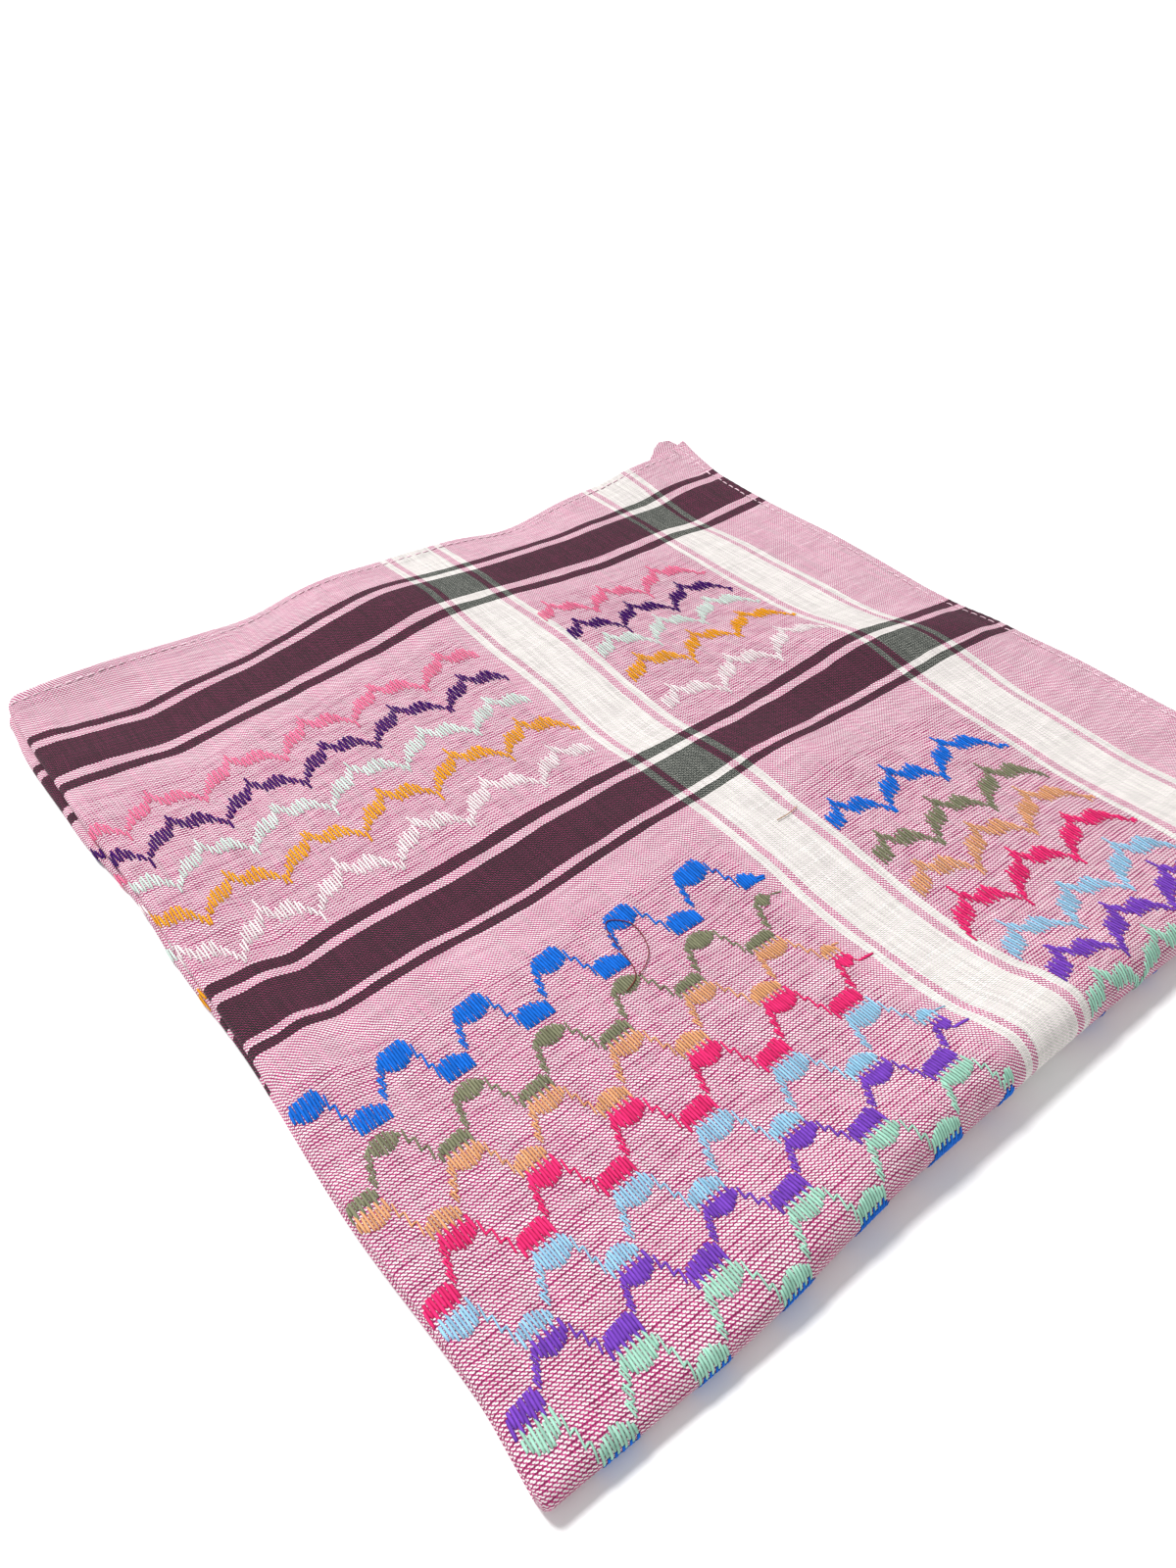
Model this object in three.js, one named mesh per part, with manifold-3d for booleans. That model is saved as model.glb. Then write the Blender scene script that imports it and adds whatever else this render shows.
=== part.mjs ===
// A square cotton bandana with a woven check and turned hems on all four
// sides. It is folded in half along its first fold, folded again across the
// first, and laid flat as a quarter square of four layers.
//
// Millimetres, +Z up. s runs along +X from the first fold, t along +Y from the
// second fold, both 0 at the cloth's own centre and 250 at its hems. The part
// rests on z = 0, and its origin is the middle of its footprint.
//
// The outer cloth is one wall that rolls round both folds. Its upper quarter,
// with the roll, is top_layer. Its lower quarter is bottom_layer. The two
// hidden quarters between them are one rounded solid with a groove along both
// hem sides, where the layers part.

import * as THREE from 'three';
import Module from 'manifold-3d';

const { smoothstep, degToRad, lerp } = THREE.MathUtils;

// Cloth
const CLOTH_SIDE = 500;
const SIDE = CLOTH_SIDE / 2;
const WALL = 1.0;
const SEAM = 0.3;
const LAYER_GAP = 0.5;
const PAIR_GAP = 0.4;
const HEM_WIDTH = 5.5;
const HEM_LIFT = 0.35;
const HEM_IN = SIDE - HEM_WIDTH;
const PANEL_END = HEM_IN - SEAM;
const HIDDEN_SHORT = 0.4;
const HIDDEN_END = SIDE - HIDDEN_SHORT;

// How high the folded cloth stands
const LOFT = 10.5;
const LEAST_LOFT = 4.8;
const NOSE_AT = 1.5;
const FOLD_SLUMP = 4.0;
const SLUMP_FROM = 18;
const SLUMP_TO = 92;
const ROLL_FLAT = 7;

// How far the doubled cloth stays together inside the first fold
const PAIR_RUN = 6.5;
// Where the outer cloth's upper piece ends under the second fold
const UNDER_END = 12;
// The open groove between the two hidden layers at the hem sides
const GROOVE_DEEP = 9;
const GROOVE_SHARE = 0.22;
const GROOVE_TIP = 0.1;
const GROOVE_FROM_ROLL = 3;
const GROOVE_FROM_FOLD = 10;

// The back corner is drawn out, and the second layer's corner shows behind it
const TIP_OUT = 4.5;
const TIP_REACH = 20;
const LOBE = [
  { at: 222, out: 0 },
  { at: 243, out: 9 },
  { at: 250, out: 3 },
];
const LOBE_RISE = 0.12;
const LOBE_CLEAR = 15;

// Middle of the footprint, measured from the cloth's centre corner
const MIDDLE_S = 125.6;
const MIDDLE_T = 129.9;

// The main creases: the middle of each, the turn of its line from +X in
// degrees, half its length, half its width, and its rise (a trough is below 0)
const CREASES = [
  { s: 113, t: 218, turn: -40, reach: 46, spread: 19, rise: 4.2 },
  { s: 170, t: 226, turn: -8, reach: 38, spread: 22, rise: 2.4 },
  { s: 26, t: 228, turn: -55, reach: 22, spread: 10, rise: -2.0 },
  { s: 224, t: 212, turn: -50, reach: 26, spread: 13, rise: -2.2 },
  { s: 17, t: 122, turn: -70, reach: 16, spread: 9, rise: -2.6 },
  { s: 64, t: 104, turn: -35, reach: 32, spread: 16, rise: -2.0 },
  { s: 204, t: 120, turn: -38, reach: 40, spread: 15, rise: 4.8 },
  { s: 238, t: 110, turn: -30, reach: 14, spread: 12, rise: 2.0 },
  { s: 143, t: 174, turn: -55, reach: 24, spread: 15, rise: 2.2 },
  { s: 118, t: 140, turn: -45, reach: 22, spread: 12, rise: -1.6 },
  { s: 150, t: 98, turn: -45, reach: 24, spread: 12, rise: 2.6 },
  { s: 104, t: 60, turn: -30, reach: 38, spread: 17, rise: -2.2 },
  { s: 150, t: 36, turn: -35, reach: 30, spread: 14, rise: -1.4 },
  { s: 118, t: 6, turn: 3, reach: 62, spread: 12, rise: 3.4 },
  { s: 214, t: 46, turn: -30, reach: 30, spread: 15, rise: -1.3 },
  { s: 16, t: 252, turn: 0, reach: 26, spread: 11, rise: 4.0 },
  { s: 74, t: 252, turn: 40, reach: 22, spread: 12, rise: -2.4 },
  { s: 168, t: 252, turn: 80, reach: 20, spread: 18, rise: -4.0 },
  { s: 224, t: 250, turn: 70, reach: 18, spread: 12, rise: 1.8 },
  { s: 256, t: 256, turn: -45, reach: 20, spread: 16, rise: 3.0 },
  { s: 250, t: 112, turn: 90, reach: 34, spread: 12, rise: -1.8 },
];

// How far each side wanders from a straight line: in from the first fold and
// how far the lower fold stands out under the upper one, then in from the
// second fold, and out from the two hem sides
const FIRST_FOLD = [
  { at: 0, shift: -0.6, peek: 0 },
  { at: 20, shift: 0.8, peek: 0 },
  { at: 60, shift: -0.4, peek: 0.3 },
  { at: 105, shift: 0.8, peek: 0.2 },
  { at: 138, shift: 0.4, peek: 0.9 },
  { at: 158, shift: 0.6, peek: 0.6 },
  { at: 195, shift: -1.0, peek: 1.8 },
  { at: 228, shift: -1.2, peek: 2.2 },
  { at: 246, shift: -0.8, peek: 1.2 },
  { at: 252, shift: 1.4, peek: 0.8 },
];
const SECOND_FOLD = [
  { at: 0, shift: -0.6 },
  { at: 40, shift: -1.2 },
  { at: 85, shift: 0.9 },
  { at: 150, shift: 1.2 },
  { at: 200, shift: 0.2 },
  { at: 250, shift: 0.6 },
];
const BACK_HEM = [
  { at: 0, shift: 1.0 },
  { at: 30, shift: 1.2 },
  { at: 74, shift: -0.8 },
  { at: 104, shift: 0.8 },
  { at: 165, shift: -1.0 },
  { at: 225, shift: 0.8 },
  { at: 252, shift: 0 },
];
const RIGHT_HEM = [
  { at: 0, shift: 0.4 },
  { at: 54, shift: -0.7 },
  { at: 76, shift: 0.3 },
  { at: 125, shift: -1.0 },
  { at: 185, shift: 0.3 },
  { at: 252, shift: 0 },
];
const SHIFT_REACH = 45;

// The turned hem's section: how far its lifted face stands in from each of
// its edges, and how its outer edge is rounded off
const HEM_RAMP = 0.8;
const HEM_SHOULDER = 0.9;
const HEM_SINK = 0.1;
const HEM_EDGE_SINK = 0.15;
const HEM_EDGE_TRIM = 0.25;
const HEM_EDGE_IN = 0.4;
const HEM_CORNER_LIFT = 0.3;
const LOW_EDGE_IN = 0.2;
const LOW_EDGE_ROUND = 0.3;

// How finely the wall follows its curves. NEAR_PLACES are the distances from
// the first fold's nose of the columns that follow the doubled wall's taper
const NEAR_PLACES = [0, 1.6, 3.2, 4.9, 6.9];
const COLUMNS = 34;
const ROWS = 34;
const ROLL_STEPS = 8;
const NOSE_STEPS = 5;
const COARSE_ROWS = 16;
const COARSE_COLUMNS = 6;
const LOW_HEM_ROWS = 3;
const EDGE_SHARES = [1, 0.6, 0.25];
const HIDDEN_ROLL_DEGREES = [20, 40, 60, 78];

// Colours and finish
const PINK_CLOTH = { color: 0xd9a9c2, roughness: 0.9, metalness: 0 };
const HEM_CLOTH = { color: 0xe3b7cc, roughness: 0.9, metalness: 0 };
const HIDDEN_CLOTH = { color: 0xcf9fba, roughness: 0.95, metalness: 0 };

// A value between two rows of a table, eased from one to the next
function between(rows, column, at) {
  let next = rows.findIndex((row) => row.at > at);
  if (next === 0) next = 1;
  if (next < 0) next = rows.length - 1;
  const low = rows[next - 1];
  const high = rows[next];
  return lerp(low[column], high[column], smoothstep(at, low.at, high.at));
}

function creaseRise(crease, s, t) {
  const turn = degToRad(crease.turn);
  const ds = s - crease.s;
  const dt = t - crease.t;
  const along = ds * Math.cos(turn) + dt * Math.sin(turn);
  const across = dt * Math.cos(turn) - ds * Math.sin(turn);
  return crease.rise * Math.exp(-((along / crease.reach) ** 2) - (across / crease.spread) ** 2);
}

// Height of the top cloth's face over the floor, never under LEAST_LOFT
function height(s, t) {
  const tHeld = Math.max(t, ROLL_FLAT);
  let z = LOFT - FOLD_SLUMP * (1 - smoothstep(s, SLUMP_FROM, SLUMP_TO));
  for (const crease of CREASES) z += creaseRise(crease, s, tHeld);
  return LEAST_LOFT + Math.log1p(Math.exp(z - LEAST_LOFT));
}

// Radius of the second fold's roll, which is also where its axis lies in t
function rollRadius(s) {
  return height(s, 0) / 2;
}

// Radius of one doubled edge at the first fold: two of them fill the height
function noseRadius(t) {
  return (height(NOSE_AT, t) - PAIR_GAP) / 4;
}

// Thickness of the wall: doubled at the first fold, one layer further in
function wallDepth(s, t, from) {
  const doubled = (height(s, t) - PAIR_GAP) / 2;
  return lerp(doubled, WALL, smoothstep(s - from, 0, PAIR_RUN));
}

// Bends the straight-sided square to the sides and corner of the real one
function settle(point) {
  const [s, t, z] = point;
  const fromFirst = 1 - smoothstep(s, 0, SHIFT_REACH);
  const fromSecond = 1 - smoothstep(t, 0, UNDER_END);
  const toRight = smoothstep(s, SIDE - SHIFT_REACH, SIDE);
  const toBack = smoothstep(t, SIDE - SHIFT_REACH, SIDE);
  const far = ((s - SIDE) ** 2 + (t - SIDE) ** 2) / TIP_REACH ** 2;
  const tip = TIP_OUT * Math.exp(-far);
  const ds = between(FIRST_FOLD, 'shift', t) * fromFirst + between(RIGHT_HEM, 'shift', t) * toRight;
  const dt = between(SECOND_FOLD, 'shift', s) * fromSecond + between(BACK_HEM, 'shift', s) * toBack;
  return [s + ds + tip, t + dt + tip, z];
}

// Stations along t. Each has a place in t, and puts a point of the wall at
// (s, depth under the face) in space, before settle
function flatStation(share, lift = 1) {
  const tOf = (s) => lerp(rollRadius(s), PANEL_END, share);
  return { t: tOf(0), lift, place: (s, depth) => [s, tOf(s), height(s, tOf(s)) - depth] };
}

function hemStation(t, lift = 1) {
  return { t, lift, place: (s, depth) => [s, t, height(s, t) - depth] };
}

function rollStation(angle) {
  const place = (s, depth) => {
    const r = rollRadius(s);
    return [s, r - (r - depth) * Math.sin(angle), r + (r - depth) * Math.cos(angle)];
  };
  return { t: 0, lift: Math.cos(angle / 2) ** 2, place };
}

function underStation(t) {
  return { t: 0, lift: 0, place: (s, depth) => [s, t, depth] };
}

const FLATS = Array.from({ length: ROWS + 1 }, (_, i) => flatStation(1 - i / ROWS));
const ROLLS = Array.from({ length: ROLL_STEPS }, (_, i) => rollStation((Math.PI * (i + 1)) / ROLL_STEPS));
const UNDERS = [underStation(UNDER_END)];

// Places along s from the first fold's nose to an end, finer at the nose
function columns(radius, end, count) {
  const near = NEAR_PLACES.map((place) => radius + place);
  const last = near[near.length - 1];
  const rest = Array.from({ length: count }, (_, i) => lerp(last, end, (i + 1) / count));
  return [...near, ...rest];
}

// Section of the upper wall at a station: out along the face, round the
// doubled nose and back along the inside, as [s, depth] pairs
function upperSection(station, faceDepth = 0, innerTrim = 0) {
  const radius = noseRadius(station.t);
  const along = columns(radius, PANEL_END, COLUMNS - NEAR_PLACES.length);
  const face = [...along].reverse().map((s) => [s, faceDepth]);
  const nose = [];
  for (let i = 1; i < NOSE_STEPS; i += 1) {
    const angle = (Math.PI * i) / NOSE_STEPS;
    nose.push([radius - radius * Math.sin(angle), radius - radius * Math.cos(angle)]);
  }
  const inside = along.map((s) => [s, wallDepth(s, station.t, radius) - innerTrim]);
  return [...face, ...nose, ...inside];
}

// Section of the lower wall: the same shape lying on the floor, as [s, z]
function lowerSection(t) {
  const radius = noseRadius(t);
  const out = between(FIRST_FOLD, 'peek', t);
  const along = columns(radius, PANEL_END, COARSE_COLUMNS).map((s) => s - out);
  along[along.length - 1] = PANEL_END;
  const under = [...along].reverse().map((s) => [s, 0]);
  const nose = [];
  for (let i = 1; i < NOSE_STEPS; i += 1) {
    const angle = (Math.PI * i) / NOSE_STEPS;
    nose.push([radius - out - radius * Math.sin(angle), radius - radius * Math.cos(angle)]);
  }
  const top = along.map((s) => [s, wallDepth(s, t, radius - out)]);
  return [...under, ...nose, ...top];
}

// Triangles that close a narrow section, from its first and last points on:
// each step moves along the side that keeps the next edge short
function capFaces(section) {
  const gap = (a, b) => Math.hypot(...section[a].map((value, axis) => value - section[b][axis]));
  const faces = [];
  let low = 0;
  let high = section.length - 1;
  while (low + 1 < high) {
    if (gap(low + 1, high) < gap(low, high - 1)) {
      faces.push([low, low + 1, high]);
      low += 1;
    } else {
      faces.push([low, high - 1, high]);
      high -= 1;
    }
  }
  return faces;
}

// A closed solid through sections of equal length, with both ends capped
function loft(sections) {
  const count = sections[0].length;
  const last = sections.length - 1;
  const index = [];
  for (let j = 0; j < last; j += 1) {
    for (let i = 0; i < count; i += 1) {
      const a = j * count + i;
      const b = j * count + ((i + 1) % count);
      index.push(a, b, a + count, b, b + count, a + count);
    }
  }
  for (const [a, b, c] of capFaces(sections[0])) index.push(c, b, a);
  for (const face of capFaces(sections[last])) index.push(...face.map((n) => n + last * count));
  const geometry = new THREE.BufferGeometry();
  geometry.setAttribute('position', new THREE.Float32BufferAttribute(sections.flat(2), 3));
  geometry.setIndex(index);
  if (volume(geometry) < 0) geometry.setIndex(index.reverse());
  return geometry;
}

function volume(geometry) {
  const place = geometry.getAttribute('position');
  const index = geometry.getIndex();
  const corner = (n) => new THREE.Vector3().fromBufferAttribute(place, index.getX(n));
  let total = 0;
  for (let n = 0; n < index.count; n += 3) {
    total += corner(n).dot(corner(n + 1).cross(corner(n + 2)));
  }
  return total / 6;
}

// Applies settle to every point, after any cut
function settled(geometry) {
  const place = geometry.getAttribute('position');
  for (let n = 0; n < place.count; n += 1) {
    place.setXYZ(n, ...settle([place.getX(n), place.getY(n), place.getZ(n)]));
  }
  geometry.computeVertexNormals();
  return geometry;
}

// The upper quarter of the outer cloth, with the roll of the second fold
function topLayer() {
  const stations = [...FLATS, ...ROLLS, ...UNDERS];
  const flat = stations.map((station) => upperSection(station));
  const solid = flat.map((section, j) => section.map(([s, depth]) => stations[j].place(s, depth)));
  return loft(solid);
}

// The turned hem along the back side, round the first fold's nose
function backHem() {
  const shapes = [
    { t: HEM_IN, face: HEM_SINK, trim: 0 },
    { t: HEM_IN + HEM_RAMP, face: -HEM_LIFT, trim: 0 },
    { t: SIDE - HEM_SHOULDER, face: -HEM_LIFT, trim: 0 },
    { t: SIDE, face: HEM_EDGE_SINK, trim: HEM_EDGE_TRIM },
  ];
  const stations = shapes.map(({ t }) => hemStation(t));
  const flat = shapes.map(({ face, trim }, j) => upperSection(stations[j], face, trim));
  const solid = flat.map((section, j) => section.map(([s, depth]) => stations[j].place(s, depth)));
  return loft(solid);
}

// The turned hem along the right side, which rolls round the second fold
function rightHem() {
  const ends = [hemStation(SIDE, HEM_CORNER_LIFT), hemStation(SIDE - HEM_SHOULDER), hemStation(HEM_IN)];
  const stations = [...ends, ...FLATS, ...ROLLS, ...UNDERS];
  const section = ({ lift }) => [
    [HEM_IN, WALL],
    [HEM_IN, HEM_SINK],
    [HEM_IN + HEM_RAMP, -HEM_LIFT * lift],
    [SIDE - HEM_SHOULDER, -HEM_LIFT * lift],
    [SIDE, HEM_EDGE_SINK],
    [SIDE, WALL - HEM_EDGE_TRIM],
    [SIDE - HEM_EDGE_IN, WALL],
  ];
  const flat = stations.map(section);
  const solid = flat.map((points, j) => points.map(([s, depth]) => stations[j].place(s, depth)));
  return loft(solid);
}

// Places in t of the lower wall's sections, from the roll's end to an end
function lowerRows(end) {
  return Array.from({ length: ROWS + 1 }, (_, j) => lerp(UNDER_END + SEAM, end, j / ROWS));
}

// The lower quarter of the outer cloth, flat on the floor
function bottomLayer() {
  return loft(lowerRows(PANEL_END).map((t) => lowerSection(t).map(([s, z]) => [s, t, z])));
}

function bottomBackHem() {
  const rows = Array.from({ length: LOW_HEM_ROWS + 1 }, (_, j) => lerp(HEM_IN, SIDE, j / LOW_HEM_ROWS));
  return loft(rows.map((t) => lowerSection(t).map(([s, z]) => [s, t, z])));
}

function bottomRightHem() {
  const section = [
    [HEM_IN, 0],
    [SIDE - LOW_EDGE_IN, 0],
    [SIDE, LOW_EDGE_ROUND],
    [SIDE, WALL - LOW_EDGE_ROUND],
    [SIDE - LOW_EDGE_ROUND, WALL],
    [HEM_IN, WALL],
  ];
  return loft(lowerRows(SIDE).map((t) => section.map(([s, z]) => [s, t, z])));
}

// How far the second layer's corner stands out behind the top one
function lobe(s) {
  return between(LOBE, 'out', s);
}

// The two hidden quarters as one solid, before the layers are parted
function hiddenBlock() {
  const inset = WALL + LAYER_GAP;
  const rollInset = inset + SEAM;
  const face = (s, t) => height(s, t) - inset + LOBE_RISE * Math.max(0, t - HIDDEN_END);
  const place = (tOf) => (s, top) => [s, tOf(s), top ? face(s, tOf(s)) : inset];
  const outer = EDGE_SHARES.map((share) => place((s) => lerp(PANEL_END, HIDDEN_END + lobe(s), share)));
  const panel = FLATS.map((_, i) => place((s) => lerp(rollRadius(s), PANEL_END, 1 - i / ROWS)));
  const roll = HIDDEN_ROLL_DEGREES.map((degrees) => (s, top) => {
    const r = rollRadius(s);
    const inner = r - rollInset;
    const angle = degToRad(degrees);
    return [s, r - inner * Math.sin(angle), r + (top ? 1 : -1) * inner * Math.cos(angle)];
  });
  const stations = [...outer, ...panel, ...roll];
  const near = NEAR_PLACES.length;
  const tops = columns(noseRadius(SIDE / 2), HIDDEN_END, COLUMNS - near).slice(near);
  const start = tops[0];
  const share = (i) => i / COARSE_COLUMNS;
  const unders = Array.from({ length: COARSE_COLUMNS + 1 }, (_, i) => lerp(HIDDEN_END, start, share(i)));
  const solid = stations.map((station) => [
    ...tops.map((s) => station(s, true)),
    ...unders.map((s) => station(s, false)),
  ]);
  return loft(solid);
}

// A wedge that parts the layers along one hem side. across is measured from
// the side's edge inwards, along runs beside it
function groove(alongStart, alongEnd, toPoint) {
  const deep = [GROOVE_DEEP, 0, -LOBE_CLEAR];
  const sections = [];
  for (let j = 0; j <= COARSE_ROWS; j += 1) {
    const along = lerp(alongStart, alongEnd, j / COARSE_ROWS);
    const above = [];
    const below = [];
    for (const across of deep) {
      const [s, t] = toPoint(along, across);
      const free = height(s, t) - 2 * (WALL + LAYER_GAP);
      const half = across > 0 ? GROOVE_TIP : GROOVE_SHARE * free;
      above.push([s, t, height(s, t) / 2 + half]);
      below.unshift([s, t, height(s, t) / 2 - half]);
    }
    sections.push([...above, ...below]);
  }
  return loft(sections);
}

// Cuts the tool shapes from a block
function cut(wasm, block, tools) {
  const toSolid = (geometry) => {
    const mesh = new wasm.Mesh({
      numProp: 3,
      vertProperties: new Float32Array(geometry.getAttribute('position').array),
      triVerts: new Uint32Array(geometry.getIndex().array),
    });
    return new wasm.Manifold(mesh);
  };
  let solid = toSolid(block);
  for (const tool of tools) solid = solid.subtract(toSolid(tool));
  const mesh = solid.getMesh();
  const geometry = new THREE.BufferGeometry();
  geometry.setAttribute('position', new THREE.Float32BufferAttribute(mesh.vertProperties, 3));
  geometry.setIndex([...mesh.triVerts]);
  return geometry;
}

function innerLayers(wasm) {
  const start = rollRadius(SIDE) + GROOVE_FROM_ROLL;
  const end = SIDE + LOBE_CLEAR;
  const rightGroove = groove(start, end, (t, across) => [HIDDEN_END - across, t]);
  const backGroove = groove(GROOVE_FROM_FOLD, end, (s, across) => [s, HIDDEN_END - across]);
  return cut(wasm, hiddenBlock(), [rightGroove, backGroove]);
}

// The scene graph
function addPiece(group, name, geometry, finish) {
  const mesh = new THREE.Mesh(settled(geometry), new THREE.MeshStandardMaterial(finish));
  mesh.name = name;
  group.add(mesh);
}

const wasm = await Module();
wasm.setup();

const bandana = new THREE.Group();
addPiece(bandana, 'top_layer', topLayer(), PINK_CLOTH);
addPiece(bandana, 'top_back_hem', backHem(), HEM_CLOTH);
addPiece(bandana, 'top_right_hem', rightHem(), HEM_CLOTH);
addPiece(bandana, 'inner_layers', innerLayers(wasm), HIDDEN_CLOTH);
addPiece(bandana, 'bottom_layer', bottomLayer(), PINK_CLOTH);
addPiece(bandana, 'bottom_back_hem', bottomBackHem(), HEM_CLOTH);
addPiece(bandana, 'bottom_right_hem', bottomRightHem(), HEM_CLOTH);
bandana.position.set(-MIDDLE_S, -MIDDLE_T, 0);

export default bandana;
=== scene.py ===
"""A square cotton bandana with a woven check, brocade zigzags and turned hems.

It lies folded in four on a pale floor. Sizes are in millimetres and become
metres as a mesh is made. Two cloth places say where a point of the outer
cloth lies: a runs from the first fold (0) to the right hem (250), and b from
the second fold (0) to the back hem (250). Below 0 they lead round the folds.
"""
import math
import random

import bpy
import numpy as np
from mathutils import Matrix, Vector


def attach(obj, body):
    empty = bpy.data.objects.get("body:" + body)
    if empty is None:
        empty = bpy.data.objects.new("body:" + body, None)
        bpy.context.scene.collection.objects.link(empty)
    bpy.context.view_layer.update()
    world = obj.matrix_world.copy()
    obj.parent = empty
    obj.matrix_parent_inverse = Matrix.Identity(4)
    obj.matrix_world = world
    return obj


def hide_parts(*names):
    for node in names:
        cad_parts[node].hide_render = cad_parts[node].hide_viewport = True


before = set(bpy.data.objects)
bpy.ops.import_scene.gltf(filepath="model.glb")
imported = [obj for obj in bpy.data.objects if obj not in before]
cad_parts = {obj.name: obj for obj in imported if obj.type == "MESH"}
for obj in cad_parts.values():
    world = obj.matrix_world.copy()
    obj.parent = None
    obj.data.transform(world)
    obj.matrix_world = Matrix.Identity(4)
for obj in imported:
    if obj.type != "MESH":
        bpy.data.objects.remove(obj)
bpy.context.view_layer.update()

# Cloth sizes, the same as the solids'
MM = 0.001
SIDE = 250.0
SEAM = 0.3
PAIR_GAP = 0.4
HEM_WIDTH = 5.5
HEM_IN = SIDE - HEM_WIDTH
PANEL_END = HEM_IN - SEAM
HIDDEN_END = SIDE - 0.4
INSET = 1.5
LOFT = 10.5
LEAST_LOFT = 4.8
FOLD_SLUMP = 4.0
SLUMP_FROM = 18.0
SLUMP_TO = 92.0
ROLL_FLAT = 7.0
UNDER_END = 12.0
TIP_OUT = 4.5
TIP_REACH = 20.0
MIDDLE_S = 125.6
MIDDLE_T = 129.9
SHIFT_REACH = 45.0
NOSE_AT = 1.5
FLAT_FROM = 5.0

# The hidden cloth, and how its corner rises. The lobe is how far this corner
# stands out behind the top layer: place along the hem, distance
HIDDEN_START = 11.5
HIDDEN_HEM = HEM_IN - 0.6
HIDDEN_SHIFT = 8.0
HIDDEN_WAVE = 0.24
LOBE_RISE = 0.2
LOBE_LIFT = 4.0
LOBE = [(223, 0.0), (234, 2.4), (244, 7.4), (250, 2.5)]

# The visible cloth is thinner than its solid, and its underside stands a
# thread's height off the floor, so that the floats there lie flat
THIN = 0.5
FLOAT_HIGH = 0.3
FLOOR_GAP = 0.02
UNDER_ANGLE = 2.0
INSIDE_RUN = 9.0

# The meshes' steps, and where the face and the underside of a cloth lie on its
# bake map: size, corner
TOP_STEP = 1.7
LOW_STEP = 4.0
INNER_STEP = 3.0
ROLL_ROWS = 14
BAKE_SPACES = [((0.98, 0.88), (0.01, 0.11)), ((0.98, 0.08), (0.01, 0.01))]

# Main creases: middle s and t, turn of the line from +X in degrees, half
# length, half width, rise
CREASES = [
    (113, 218, -40, 46, 19, 4.2),
    (170, 226, -8, 38, 22, 2.4),
    (26, 228, -55, 22, 10, -2.0),
    (224, 212, -50, 26, 13, -2.2),
    (17, 122, -70, 16, 9, -2.6),
    (64, 104, -35, 32, 16, -2.0),
    (204, 120, -38, 40, 15, 4.8),
    (238, 110, -30, 14, 12, 2.0),
    (143, 174, -55, 24, 15, 2.2),
    (118, 140, -45, 22, 12, -1.6),
    (150, 98, -45, 24, 12, 2.6),
    (104, 60, -30, 38, 17, -2.2),
    (150, 36, -35, 30, 14, -1.4),
    (118, 6, 3, 62, 12, 3.4),
    (214, 46, -30, 30, 15, -1.3),
    (16, 252, 0, 26, 11, 4.0),
    (74, 252, 40, 22, 12, -2.4),
    (168, 252, 80, 20, 18, -4.0),
    (224, 250, 70, 18, 12, 1.8),
    (256, 256, -45, 20, 16, 3.0),
    (250, 112, 90, 34, 12, -1.8),
]

# Finer creases that only this surface has, in the same columns
FINE_CREASES = [
    (12, 214, -20, 10, 5, 0.7),
    (28, 204, -50, 12, 4, -0.6),
    (52, 198, -30, 16, 5, 0.5),
    (20, 186, 35, 14, 3, -0.5),
    (40, 178, -25, 14, 4, -0.5),
    (24, 160, 20, 14, 3, 0.4),
    (46, 150, -30, 18, 4, -0.4),
    (12, 142, -60, 9, 4, 0.6),
    (8, 92, -65, 12, 5, 0.6),
    (26, 74, -40, 16, 5, -0.5),
    (14, 48, -70, 14, 5, -0.5),
    (34, 24, -35, 18, 5, 0.4),
    (62, 16, -15, 16, 4, -0.4),
    (72, 132, -35, 18, 5, 0.4),
    (92, 178, -40, 18, 5, -0.4),
    (132, 204, -60, 16, 6, -0.5),
    (158, 160, -40, 18, 5, -0.4),
    (178, 76, -35, 18, 5, 0.4),
    (226, 150, -60, 18, 6, 0.5),
    (232, 66, -60, 18, 6, -0.5),
    (186, 20, -20, 18, 5, -0.4),
    (242, 236, -45, 10, 4, -0.8),
    (236, 244, -45, 9, 4, 0.7),
    (255, 255, 0, 8, 8, 3.4),
]

# Each side's wander from a straight line. First column: place along the
# side. Then shift in (or out), and how far the lower fold peeks out
FIRST_FOLD = [
    (0, -0.6, 0), (20, 0.8, 0), (60, -0.4, 0.3), (105, 0.8, 0.2), (138, 0.4, 0.9),
    (158, 0.6, 0.6), (195, -1.0, 1.8), (228, -1.2, 2.2), (246, -0.8, 1.2), (252, 1.4, 0.8),
]
SECOND_FOLD = [(0, -0.6), (40, -1.2), (85, 0.9), (150, 1.2), (200, 0.2), (250, 0.6)]
BACK_HEM = [(0, 1.0), (30, 1.2), (74, -0.8), (104, 0.8), (165, -1.0), (225, 0.8), (252, 0)]
RIGHT_HEM = [(0, 0.4), (54, -0.7), (76, 0.3), (125, -1.0), (185, 0.3), (252, 0)]

# The woven check. The cloth's own middle line lies a little off the fold.
# Each band is (from, to), measured from the middle lines
WEFT_PITCH = 0.431
WARP_PITCH = 0.4545
MIDDLE_B = 1.75
WHITE_BANDS = [
    (117.9, 119.8), (121.9, 135.3), (137.6, 139.8), (201.3, 203.2), (205.6, 219.4), (221.4, 223.5),
]
DARK_BANDS = [
    (98.2, 100.8), (103.1, 115.5), (118.1, 121.5), (201.6, 205.0), (208.4, 223.2), (226.2, 229.4),
]

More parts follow.
